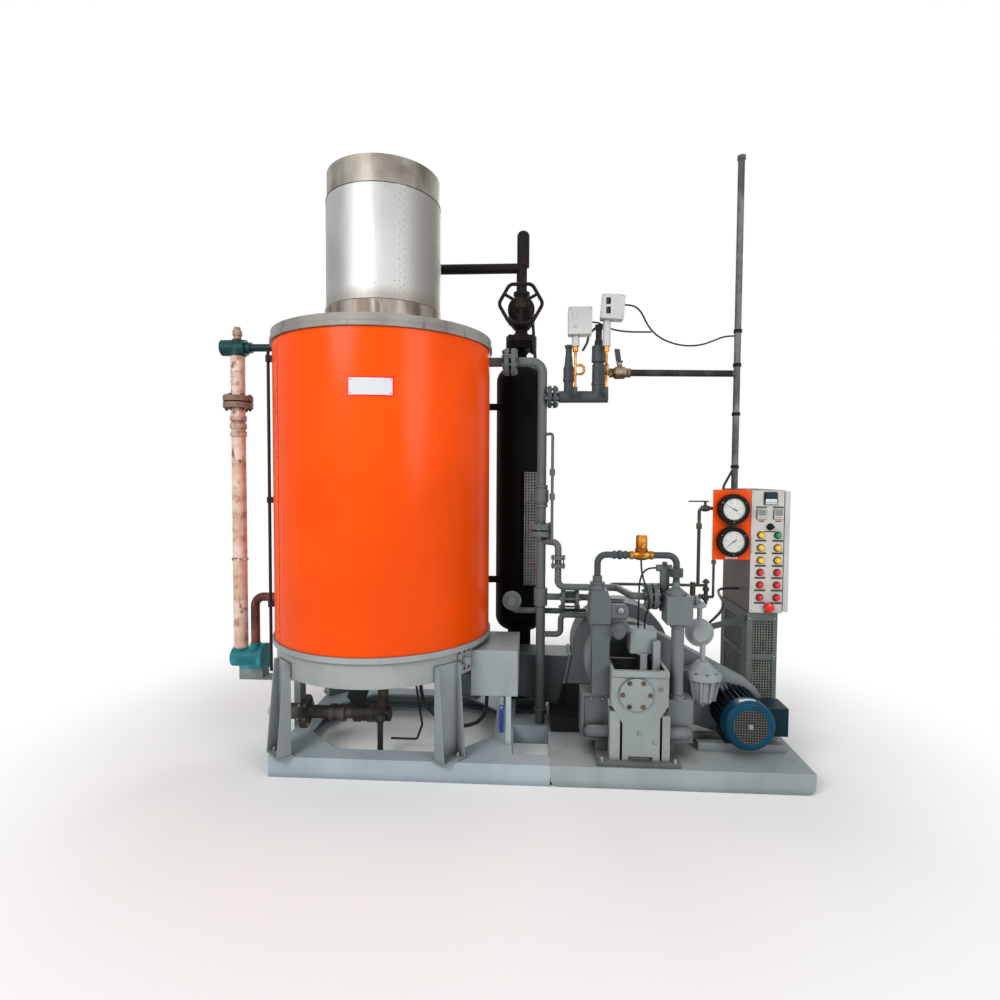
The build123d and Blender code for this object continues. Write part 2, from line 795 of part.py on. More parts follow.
def drum():
    wall = DRUM_R - DRUM_WALL
    keep("drum_shell", ring(DRUM_R, wall, DRUM_Z0, DRUM_Z1 - DRUM_Z0))
    bead_z = DRUM_Z0 - LOW_BEAD_H
    bead = ring(LOW_BEAD_R, PAN_R - DRUM_WALL, bead_z, LOW_BEAD_H)
    keep("drum_lower_bead", bead)
    pan_z = bead_z - PAN_H
    pan = ring(PAN_R, PAN_R - DRUM_WALL, pan_z, PAN_H)
    floor = Pos(0, 0, pan_z) * Cylinder(PAN_R, DRUM_WALL, align=(Align.CENTER, Align.CENTER, Align.MIN))
    shelf = ring(PAN_R, wall - DRUM_WALL, bead_z - DRUM_WALL, DRUM_WALL)
    patch = ring(PAN_R + PATCH_T, PAN_R, pan_z + PATCH_MARGIN, PAN_H - PATCH_MARGIN)
    sector = block(0, PAN_R + PATCH_T, -PATCH_WIDTH / 2, PATCH_WIDTH / 2, pan_z, bead_z)
    patch = patch & (Rot(0, 0, PATCH_ANGLE) * sector)
    turn = math.radians(PATCH_ANGLE)
    aim = Vector(math.cos(turn), math.sin(turn), 0)
    port_start = aim * PAN_R + Vector(0, 0, SIGHT_PORT_Z)
    port_end = aim * (PAN_R + PATCH_T + SIGHT_PORT_LEN) + Vector(0, 0, SIGHT_PORT_Z)
    port = rod(tuple(port_start), tuple(port_end), SIGHT_PORT_R)
    keep("burner_pan", pan + floor + shelf + patch + port)
    keep("drum_upper_bead", ring(TOP_BEAD_R, wall, DRUM_Z1, TOP_BEAD_H))
    lid_z = DRUM_Z1 + TOP_BEAD_H
    lid = turned((0, 0, lid_z), UP, ((LID_BAND_H, LID_R, LID_R), (LID_RISE, LID_R, COLLAR_R)))
    flue_hole = FLUE_R - FLUE_WALL
    bore = rod((0, 0, lid_z - PLATE_T), (0, 0, FLUE_Z1), flue_hole)
    hollow = turned((0, 0, lid_z), UP, ((LID_BAND_H - PLATE_T, LID_R - PLATE_T, LID_R - PLATE_T),
                                             (LID_RISE, LID_R - PLATE_T, flue_hole)))
    keep("drum_lid", lid - hollow - bore)
    collar_z = lid_z + LID_BAND_H + LID_RISE
    keep("flue_collar", ring(COLLAR_R, flue_hole, collar_z, COLLAR_H))
    flue_z = collar_z + COLLAR_H
    keep("flue_jacket", ring(FLUE_R, flue_hole, flue_z, FLUE_Z1 - flue_z))
    keep("flue_liner", ring(FLUE_LINER_R, FLUE_LINER_R - FLUE_WALL, FLUE_LINER_Z0, FLUE_TOP_Z - FLUE_LINER_Z0))


def legs():
    foot_top = BEAM_HEIGHT + FOOT_T
    half = LEG_WEB_WIDTH / 2
    web = block(PAN_R, PAN_R + LEG_T, -half, half, foot_top, LEG_TOP_Z)
    outline = ((PAN_R, foot_top), (PAN_R + LEG_DEPTH_LOW, foot_top), (PAN_R + LEG_DEPTH_TOP, LEG_TOP_Z),
               (PAN_R, LEG_TOP_Z))
    near = slab(outline, -half, LEG_T)
    far = slab(outline, half - LEG_T, LEG_T)
    foot = block(PAN_R - LEG_T, PAN_R + LEG_DEPTH_LOW, -FOOT_WIDTH / 2, FOOT_WIDTH / 2, BEAM_HEIGHT, foot_top)
    leg = web + near + far + foot
    keep("drum_legs", Compound([Rot(0, 0, angle) * leg for angle in LEG_ANGLES]))


def burner():
    pan_z = DRUM_Z0 - LOW_BEAD_H - PAN_H
    box_z = pan_z - WINDBOX_H
    windbox = rod((0, 0, box_z), (0, 0, pan_z), WINDBOX_R)
    keep("windbox", windbox)
    length = sum(step[0] for step in GAS_STEPS)
    line = turned((GAS_FLANGE_X, GAS_Y, GAS_Z), (1, 0, 0), GAS_STEPS)
    end_x = GAS_FLANGE_X + length
    body = rod((end_x, GAS_Y, GAS_Z), (end_x + GAS_COCK_LEN, GAS_Y, GAS_Z), GAS_COCK_R)
    riser = rod((GAS_COCK_X, GAS_Y, GAS_Z), (GAS_COCK_X, GAS_Y, box_z), GAS_RISER_R)
    stem_y = GAS_Y - GAS_COCK_R
    stem = rod((GAS_COCK_X, GAS_Y, GAS_Z), (GAS_COCK_X, stem_y - COCK_STEM_LEN, GAS_Z), COCK_STEM_R)
    keep("gas_line", line)
    keep("gas_cock", body + riser + stem)
    cap_end = GAS_FLANGE_X
    tail = rod((END_CAP_X, GAS_Y, GAS_Z), (cap_end, GAS_Y, GAS_Z), END_CAP_R)
    dome = Pos(END_CAP_X, GAS_Y, GAS_Z) * Sphere(END_CAP_R)
    keep("line_end_cap", tail + dome)
    lever_y = stem_y - COCK_STEM_LEN
    half = COCK_LEVER_WIDTH / 2
    plate = block(GAS_COCK_X - half, GAS_COCK_X + half, lever_y, lever_y + COCK_LEVER_T, GAS_Z - COCK_LEVER_LEN,
                  GAS_Z)
    eye = rod((GAS_COCK_X, lever_y, GAS_Z), (GAS_COCK_X, lever_y + COCK_LEVER_T, GAS_Z), COCK_LEVER_WIDTH)
    bore = rod((GAS_COCK_X, lever_y, GAS_Z), (GAS_COCK_X, lever_y + COCK_LEVER_T, GAS_Z), COCK_STEM_R + PIVOT_PLAY)
    keep("cock_lever", plate + eye - bore)
    keep("cock_link", pipe(LINK_POINTS, LINK_R, LINK_BEND) - windbox)
    chute = bar(CHUTE_LOW, CHUTE_HIGH, CHUTE_WIDTH, CHUTE_T)
    keep("ash_chute", chute - windbox - parts["rear_beam"])


def air_side():
    top_end = (DUCT_END_X, DUCT_TOP_Z - DUCT_FALL)
    low_end = (DUCT_END_X - DUCT_SLANT, DUCT_LOW_Z)
    duct_outline = ((DUCT_START_X, DUCT_TOP_Z - DUCT_START_H), (DUCT_START_X, DUCT_TOP_Z), top_end, low_end,
                    (DUCT_KNEE_X, DUCT_KNEE_Z), (DUCT_HIP_X, DUCT_HIP_Z))
    duct = slab(duct_outline, DUCT_Y0, DUCT_DEPTH)
    keep("air_duct", duct - parts["windbox"])
    y1 = DUCT_Y0 + DUCT_DEPTH
    scroll = rod((SCROLL_X, DUCT_Y0, SCROLL_Z), (SCROLL_X, y1, SCROLL_Z), SCROLL_R)
    throat = (top_end, low_end, (SCROLL_X, SCROLL_Z - SCROLL_R), (SCROLL_X, SCROLL_Z))
    scroll = scroll + slab(throat, DUCT_Y0, DUCT_DEPTH)
    rim_top = top_end[1] + DUCT_FLANGE_LIP
    rim = ((top_end[0], rim_top), (low_end[0], low_end[1]), (low_end[0] + DUCT_FLANGE_T, low_end[1]),
           (top_end[0] + DUCT_FLANGE_T, rim_top))
    scroll = scroll + slab(rim, DUCT_Y0 - DUCT_FLANGE_LIP, DUCT_DEPTH + DUCT_FLANGE_LIP)
    scroll = scroll - duct
    keep("blower_scroll", scroll)
    stand = block(STAND_LEFT_X, STAND_RIGHT_X, STAND_Y0, STAND_Y1, BEAM_HEIGHT, SCROLL_Z - SCROLL_R)
    stand = stand - scroll - duct
    low_stand = block(STAND_LEFT_X, STAND_RIGHT_X, STAND_Y0, DUCT_Y0, DUCT_LOW_Z, SCROLL_Z)
    keep("blower_stand", stand - low_stand)
    pan_z = DRUM_Z0 - LOW_BEAD_H - PAN_H
    pan = rod((0, 0, pan_z), (0, 0, DRUM_Z0), PAN_R)
    cover = block(COVER_X0, COVER_X1, COVER_Y0, DUCT_Y0, COVER_Z0, COVER_Z1)
    keep("duct_cover", cover - pan)
    guard_y1 = GUARD_Y0 + GUARD_DEPTH
    with_big = Pos(SCROLL_X, SCROLL_Z) * Circle(GUARD_BIG_R)
    with_small = Pos(MOTOR_X, MOTOR_Z) * Circle(GUARD_SMALL_R)
    outline = make_hull(with_big.edges() + with_small.edges())
    guard = extrude(Plane.XZ.offset(-GUARD_Y0) * outline, amount=-GUARD_DEPTH)
    hole = rod((GUARD_HOLE_X, GUARD_Y0, GUARD_HOLE_Z), (GUARD_HOLE_X, guard_y1, GUARD_HOLE_Z), GUARD_HOLE_R)
    below = block(SCROLL_X, PLATFORM_RIGHT_X, GUARD_Y0, guard_y1, 0, BEAM_HEIGHT)
    keep("belt_guard", guard - hole - below)
    keep("fan_shaft", rod((SCROLL_X, guard_y1, SCROLL_Z), (SCROLL_X, DUCT_Y0, SCROLL_Z), SHAFT_R))


def motor():
    y1 = COWL_Y0 + COWL_LEN
    cowl = rod((MOTOR_X, COWL_Y0, MOTOR_Z), (MOTOR_X, y1, MOTOR_Z), COWL_R)
    front = cowl.edges().filter_by(GeomType.CIRCLE).sort_by(Axis.Y)[0]
    cowl = fillet(front, COWL_ROUND)
    recess = rod((MOTOR_X, COWL_Y0, MOTOR_Z), (MOTOR_X, COWL_Y0 + COWL_RECESS, MOTOR_Z), GRILLE_R)
    guard_y = COWL_Y0 + GRILLE_SET
    count = int(GRILLE_R // GRILLE_PITCH)
    wires = []
    for i in range(-count, count + 1):
        place = i * GRILLE_PITCH
        near = place - GRILLE_WIRE / 2
        far = place + GRILLE_WIRE / 2
        half = math.sqrt(GRILLE_R * GRILLE_R - place * place) + GRILLE_WIRE
        wires.append(block(near, far, guard_y, guard_y + GRILLE_WIRE, -half, half))
        wires.append(block(-half, half, guard_y, guard_y + GRILLE_WIRE, near, far))
    hub_half = GRILLE_HUB / 2
    wires.append(block(-hub_half, hub_half, COWL_Y0, guard_y + GRILLE_WIRE, -hub_half, hub_half))
    wire_guard = [Pos(MOTOR_X, 0, MOTOR_Z) * wire for wire in wires]
    keep("motor_cowl", cowl - recess + wire_guard)
    body = rod((MOTOR_X, y1, MOTOR_Z), (MOTOR_X, GUARD_Y0, MOTOR_Z), MOTOR_BODY_R)
    fin = block(MOTOR_BODY_R - FIN_T, FIN_R, 0, GUARD_Y0 - y1, -FIN_T / 2, FIN_T / 2)
    fins = [Pos(MOTOR_X, y1, MOTOR_Z) * Rot(0, FULL_TURN * i / FIN_COUNT, 0) * fin for i in range(FIN_COUNT)]
    half = MOTOR_FOOT_WIDTH / 2
    foot = block(MOTOR_X - half, MOTOR_X + half, RAIL_YS[0], RAIL_YS[1] + RAIL_WIDTH, BEAM_HEIGHT + RAIL_H, MOTOR_Z)
    hull = rod((MOTOR_X, y1, MOTOR_Z), (MOTOR_X, GUARD_Y0, MOTOR_Z), FIN_R)
    motor_body = body + fins + (foot - hull)
    keep("motor_body", motor_body)
    rails = [block(RAIL_X0, RAIL_X1, y, y + RAIL_WIDTH, BEAM_HEIGHT, BEAM_HEIGHT + RAIL_H) for y in RAIL_YS]
    keep("motor_rails", Compound(rails))
    z1 = TERMINAL_Z0 + TERMINAL_H
    box = block(MOTOR_X, TERMINAL_X1, TERMINAL_Y0, TERMINAL_Y0 + TERMINAL_DEPTH, TERMINAL_Z0, z1)
    whole = rod((MOTOR_X, COWL_Y0, MOTOR_Z), (MOTOR_X, GUARD_Y0, MOTOR_Z), COWL_R)
    keep("terminal_box", box - whole)


def pump():
    base_top = BEAM_HEIGHT + PUMP_BASE_T
    keep("pump_base", block(PUMP_BASE_X0, PUMP_BASE_X1, PUMP_BASE_Y0, PUMP_BASE_Y1, BEAM_HEIGHT, base_top))
    outline = ((CRANK_NECK_X0, base_top), (CRANK_NECK_X1, base_top), (CRANK_NECK_X1, CRANK_NECK_Z),
               (CRANK_X1 - CRANK_WAIST_INSET, CRANK_WAIST_Z), (CRANK_X1, CRANK_SHOULDER_Z), (CRANK_X1, CRANK_TOP_Z),
               (CRANK_X0, CRANK_TOP_Z), (CRANK_X0, CRANK_SHOULDER_Z), (CRANK_X0 + CRANK_WAIST_INSET, CRANK_WAIST_Z),
               (CRANK_NECK_X0, CRANK_NECK_Z))
    case = slab(outline, CRANK_Y0, CRANK_Y1 - CRANK_Y0)
    slot_x0, slot_x1, slot_h, slot_depth = CRANK_SLOT
    case = case - block(slot_x0, slot_x1, CRANK_Y0, CRANK_Y0 + slot_depth, base_top, base_top + slot_h)
    well_z = CRANK_TOP_Z - CRANK_WELL_DEPTH
    well = block(CRANK_X0 + CRANK_WALL, CRANK_X1 - CRANK_WALL, CRANK_Y0 + CRANK_WALL, CRANK_Y1 - CRANK_WALL, well_z,
                 CRANK_TOP_Z)
    lip = block(CRANK_X0, CRANK_X1, CRANK_Y0 - CRANK_LIP, CRANK_Y0, CRANK_TOP_Z - CRANK_LIP_H, CRANK_TOP_Z)
    keep("crankcase", case - well + lip)
    keep("crankcase_cover", rod((CRANK_COVER_X, CRANK_Y0 - CRANK_COVER_T, CRANK_COVER_Z),
                                (CRANK_COVER_X, CRANK_Y0, CRANK_COVER_Z), CRANK_COVER_R))
    straps = []
    for x0, x1, z1 in (LEFT_STRAP, RIGHT_STRAP):
        straps.append(block(x0, x1, STRAP_Y0, STRAP_Y0 + STRAP_DEPTH, base_top, z1) - case)
    keep("pump_straps", Compound(straps))
    x0, x1, z0, z1 = LEFT_BOX
    box = block(x0, x1, CYLINDER_Y0, CYLINDER_Y1, z0, z1)
    box = box - block(x0 + BOX_RIM, x1 - BOX_RIM, CYLINDER_Y0, CYLINDER_Y0 + BOX_RECESS, z0 + BOX_RIM, z1 - BOX_RIM)
    foot = block(LEFT_FOOT[0], LEFT_FOOT[1], CYLINDER_Y0 + BOX_RIM, CYLINDER_Y1, base_top, z0)
    arm = rod((LEFT_ARM_X, ARM_Y, ARM_Z), (x1, ARM_Y, ARM_Z), ARM_R)
    tip = Pos(LEFT_ARM_X, ARM_Y, ARM_Z) * Sphere(ARM_R)
    keep("left_valve_box", box + foot + arm + tip)
    col_x0, col_x1, col_z1 = LEFT_COLUMN
    column = block(col_x0, col_x1, COLUMN_Y0, COLUMN_Y1, z1, col_z1)
    head_x0, head_x1, head_z1 = LEFT_HEAD
    shape = ((head_x0, col_z1), (head_x1, col_z1), (head_x1, HEAD_SHOULDER_Z), (head_x1 - HEAD_SLOPE_INSET, head_z1),
             (head_x0 + HEAD_TOP_INSET, head_z1), (head_x0, HEAD_SHOULDER_Z))
    head = slab(shape, HEAD_Y0, HEAD_Y1 - HEAD_Y0)
    head = fillet(head.edges(), EDGE_R)
    ear_y = HEAD_Y0 + EDGE_R
    ear = block(LEFT_CAP_X, EAR_X1, ear_y, ear_y + EAR_T, EAR_Z0, EAR_Z1)
    ear = fillet(ear.edges().filter_by(Axis.Y).sort_by(Axis.X)[-2:], EAR_ROUND)
    arch = block(col_x1 - EDGE_R, ARCH_X1, COLUMN_Y0, COLUMN_Y1, ARCH_Z0, EAR_Z0 + EDGE_R)
    arch = arch - rod((ARCH_X1, COLUMN_Y0, ARCH_Z0), (ARCH_X1, COLUMN_Y1, ARCH_Z0), ARCH_X1 - col_x1)
    stack_y = HEAD_Y1 - EDGE_R - STACK_DEPTH
    stack = [block(LEFT_CAP_X, STACK_X1, stack_y, stack_y + STACK_DEPTH, z, z + STACK_T) for z in STACK_ZS]
    cap = turned((LEFT_CAP_X, PIPE_Y, head_z1), UP, LEFT_CAP_STEPS)
    axis = Vector(*NOZZLE_TO) - Vector(*NOZZLE_FROM)
    nozzle = turned(NOZZLE_FROM, axis, ((axis.length, NOZZLE_R, NOZZLE_R),
                                        (NOZZLE_FLANGE_T, NOZZLE_FLANGE_R, NOZZLE_FLANGE_R)))
    knob_face = Plane(origin=NOZZLE_TO, z_dir=axis)
    knob_rib = Cylinder(KNOB_RIB_R, NOZZLE_FLANGE_T, align=(Align.CENTER, Align.CENTER, Align.MIN))
    ribs = []
    for i in range(KNOB_RIB_COUNT):
        ribs.append(knob_face * Rot(0, 0, FULL_TURN * i / KNOB_RIB_COUNT) * Pos(NOZZLE_FLANGE_R, 0, 0) * knob_rib)
    elbow = rod(ELBOW_FROM, ELBOW_TO, ELBOW_R)
    keep("left_column", column)
    keep("left_head", head + ear + stack + cap + arch + nozzle + ribs + elbow - column)
    x0, x1, z0, z1 = RIGHT_BOX
    box = block(x0, x1, CYLINDER_Y0, CYLINDER_Y1, z0, z1)
    foot = block(RIGHT_FOOT[0], RIGHT_FOOT[1], CYLINDER_Y0 + BOX_RIM, CYLINDER_Y1, base_top, z0)
    arm_x0 = RIGHT_STRAP[1]
    arm = rod((arm_x0, ARM_Y, ARM_Z), (RIGHT_ARM_X, ARM_Y, ARM_Z), ARM_R)
    tip = Pos(RIGHT_ARM_X, ARM_Y, ARM_Z) * Sphere(ARM_R)
    keep("right_valve_box", box + foot + arm + tip)
    head_x0, head_x1, head_z0, head_z1 = RIGHT_HEAD
    column_h = head_z0 - z1
    bare_h = column_h - RIGHT_COLLAR_H - RIGHT_COLLAR_H
    steps = ((RIGHT_COLLAR_H, RIGHT_COLLAR_R, RIGHT_COLLAR_R), (bare_h, RIGHT_COLUMN_R, RIGHT_COLUMN_R),
             (RIGHT_COLLAR_H, RIGHT_COLLAR_R, RIGHT_COLLAR_R))
    keep("right_column", turned((RIGHT_COLUMN_X, PIPE_Y, z1), UP, steps))
    head = soft_block(head_x0, head_x1, HEAD_Y0, HEAD_Y1, head_z0, head_z1, EDGE_R)
    head = head + turned((RIGHT_CAP_X, PIPE_Y, head_z1), UP, RIGHT_CAP_STEPS)
    head = head + turned((head_x1, HEAD_VALVE_Y, HEAD_VALVE_Z), (1, 0, 0), HEAD_VALVE_STEPS)
    post = rod((POST_X, POST_Y, POST_Z0), (POST_X, POST_Y, POST_TEE_Z), POST_R)
    tee = rod((POST_TEE_X0, POST_Y, POST_TEE_Z), (POST_TEE_X1, POST_Y, POST_TEE_Z), POST_TEE_R)
    plug = rod((POST_X, POST_Y, POST_TEE_Z), (POST_X, POST_Y, POST_PLUG_Z), POST_PLUG_R)
    keep("right_head", head + post + tee + plug)
    x0, x1, y0, y1, z0, z1 = ACTUATOR_BOX
    box = soft_block(x0, x1, y0, y1, z0, z1, EDGE_R)
    middle_x = (x0 + x1) / 2
    post_y = CRANK_Y1 - CRANK_WALL - ACTUATOR_POST_R
    post = rod((middle_x, post_y, well_z), (middle_x, post_y, z0 + EDGE_R), ACTUATOR_POST_R)
    keep("actuator_box", box + post)
    x0, x1, y0, y1, z1 = ACTUATOR_BAR
    keep("actuator_bar", block(x0, x1, y0, y1, well_z, z1))


def pump_pipes():
    left_z = LEFT_HEAD[-1] + sum(step[0] for step in LEFT_CAP_STEPS)
    right_z = RIGHT_HEAD[-1] + sum(step[0] for step in RIGHT_CAP_STEPS)
    riser = pipe(((LEFT_CAP_X, PIPE_Y, left_z), (LEFT_CAP_X, PIPE_Y, LOOP_Z), (BRASS_X0, PIPE_Y, LOOP_Z)), LOOP_R,
                 LOOP_BEND)
    coupling = turned((COUPLING_X, PIPE_Y, LOOP_Z), (1, 0, 0), COUPLING_STEPS)
    keep("loop_left", riser + coupling)
    drop = pipe(((BRASS_X1, PIPE_Y, LOOP_Z), (RIGHT_CAP_X, PIPE_Y, LOOP_Z), (RIGHT_CAP_X, PIPE_Y, right_z)), LOOP_R,
                LOOP_BEND)
    union = rod((RIGHT_CAP_X, PIPE_Y, UNION_Z), (RIGHT_CAP_X, PIPE_Y, UNION_Z + UNION_H), UNION_R)
    keep("loop_right", drop + union)
    body = turned((BRASS_X0, PIPE_Y, LOOP_Z), (1, 0, 0), BRASS_STEPS)
    middle = (BRASS_X0 + BRASS_X1) / 2
    keep("solenoid_valve", body + turned((middle, PIPE_Y, LOOP_Z), UP, BRASS_TOP_STEPS))
    flange_end = PUMP_FLANGE_X + PUMP_FLANGE_T + PUMP_FLANGE_GAP + PUMP_FLANGE_T
    drop_x = RISER_X + DISCHARGE_REACH
    run = pipe(((RISER_X, RISER_Y, DISCHARGE_TOP_Z), (drop_x, DISCHARGE_Y, DISCHARGE_TOP_Z),
                (drop_x, DISCHARGE_Y, DISCHARGE_Z), (DISCHARGE_TURN_X, DISCHARGE_Y, DISCHARGE_Z),
                (PUMP_FLANGE_X - DISCHARGE_END_RUN, PUMP_FLANGE_Y, DISCHARGE_Z),
                (PUMP_FLANGE_X, PUMP_FLANGE_Y, DISCHARGE_Z)), DISCHARGE_R, DISCHARGE_BEND)
    for z in DROP_FLANGE_ZS:
        run = run + rod((drop_x, DISCHARGE_Y, z), (drop_x, DISCHARGE_Y, z + DROP_FLANGE_T), DROP_FLANGE_R)
    keep("discharge_line", run - rod((RISER_X, RISER_Y, RISER_FOOT_Z), (RISER_X, RISER_Y, RISER_TOP_Z), RISER_R))
    pair = turned((PUMP_FLANGE_X, PUMP_FLANGE_Y, DISCHARGE_Z), (1, 0, 0),
                  ((PUMP_FLANGE_T, PUMP_FLANGE_R, PUMP_FLANGE_R), (PUMP_FLANGE_GAP, FEED_R, FEED_R),
                   (PUMP_FLANGE_T, PUMP_FLANGE_R, PUMP_FLANGE_R),
                   (RIGHT_HEAD[0] + EDGE_R - flange_end, FEED_R, FEED_R)))
    keep("pump_flanges", pair - parts["right_head"])
    feed = pipe(((RISER_X, RISER_Y, FEED_Z), (FEED_X, RISER_Y, FEED_Z), (FEED_X, HEAD_Y1, FEED_Z)), FEED_R, FEED_BEND)
    check_x0 = RISER_X + CHECK_FLANGE_REACH
    check_x1 = check_x0 + CHECK_FLANGE_PITCH
    for x in (check_x0, check_x1):
        feed = feed + rod((x, RISER_Y, FEED_Z), (x + CHECK_FLANGE_T, RISER_Y, FEED_Z), CHECK_FLANGE_R)
    feed = feed + rod((check_x0, RISER_Y, FEED_Z), (check_x1, RISER_Y, FEED_Z), CHECK_BODY_R)
    tee = rod((RISER_X, RISER_Y, FEED_Z - TEE_LEN / 2), (RISER_X, RISER_Y, FEED_Z + TEE_LEN / 2), TEE_R)
    keep("feed_line", feed - tee)
    return_x = RISER_X + RETURN_REACH
    back = pipe(((RISER_X, RISER_Y, RETURN_LOW_Z), (return_x, RISER_Y, RETURN_LOW_Z), (return_x, RISER_Y, RETURN_Z),
                 (FEED_X, RISER_Y, RETURN_Z), (FEED_X, COLUMN_Y1, RETURN_Z)), RETURN_R, RETURN_BEND)
    keep("return_line", back - rod((RISER_X, RISER_Y, RISER_FOOT_Z), (RISER_X, RISER_Y, RISER_TOP_Z), RISER_R))
    cap_x = RISER_X - SUCTION_REACH
    suction = pipe(((cap_x, SUCTION_CAP_Y, SUCTION_CAP_Z), (cap_x, SUCTION_Y, SUCTION_CAP_Z),
                    (cap_x, SUCTION_Y, SUCTION_Z), (SUCTION_END_X, SUCTION_Y, SUCTION_Z),
                    (SUCTION_END_X, COLUMN_Y1, SUCTION_Z)), SUCTION_R, SUCTION_BEND)
    cap = turned((cap_x, SUCTION_CAP_Y, SUCTION_CAP_Z), (0, -1, 0), SUCTION_CAP_STEPS)
    keep("suction_line", suction + cap)


def chamber():
    body = turned((CHAMBER_X, CHAMBER_Y, CHAMBER_Z), UP, CHAMBER_BODY_STEPS)
    cap_z = CHAMBER_Z + sum(step[0] for step in CHAMBER_BODY_STEPS)
    low_z = CHAMBER_Z + CHAMBER_BODY_STEPS[0][0]
    ribs = []
    for i in range(CHAMBER_RIB_COUNT):
        half = CHAMBER_RIB_T / 2
        outline = ((0, low_z), (CHAMBER_BODY_STEPS[1][1] + CHAMBER_RIB_T, low_z), (CHAMBER_RIB_DEPTH, cap_z), (0, cap_z))
        rib = slab(outline, -half, CHAMBER_RIB_T)
        ribs.append(Pos(CHAMBER_X, CHAMBER_Y, 0) * Rot(0, 0, FULL_TURN * i / CHAMBER_RIB_COUNT) * rib)
    drain = rod((CHAMBER_X, CHAMBER_Y, CHAMBER_Z - CHAMBER_DRAIN_H), (CHAMBER_X, CHAMBER_Y, CHAMBER_Z), CHAMBER_STEM_R)
    keep("chamber_body", body + ribs + drain)
    cap = turned((CHAMBER_X, CHAMBER_Y, cap_z), UP, CHAMBER_CAP_STEPS)
    cap_top = cap_z + sum(step[0] for step in CHAMBER_CAP_STEPS)
    lens_y0 = CHAMBER_Y - sum(step[0] for step in LENS_STEPS) / 2
    lens_x = BRANCH_POINTS[-1][0]
    lens = turned((lens_x, lens_y0, LENS_Z), (0, 1, 0), LENS_STEPS)
    stem = rod((CHAMBER_X, CHAMBER_Y, cap_top - CHAMBER_STEM_R), (CHAMBER_X, CHAMBER_Y, LENS_Z), CHAMBER_STEM_R)
    keep("chamber_cap", cap + stem - lens)
    branch = pipe(BRANCH_POINTS, BRANCH_R, BRANCH_BEND)
    keep("pressure_regulator", lens + branch)
    tie = bar(TIE_FROM, TIE_TO, TIE_HEIGHT, TIE_T)
    pedestal = block(PEDESTAL_X0, PEDESTAL_X1, PEDESTAL_Y0, PEDESTAL_Y1, BEAM_HEIGHT, CAB_Z0)
    keep("tie_bar", tie - lens - branch - pedestal)


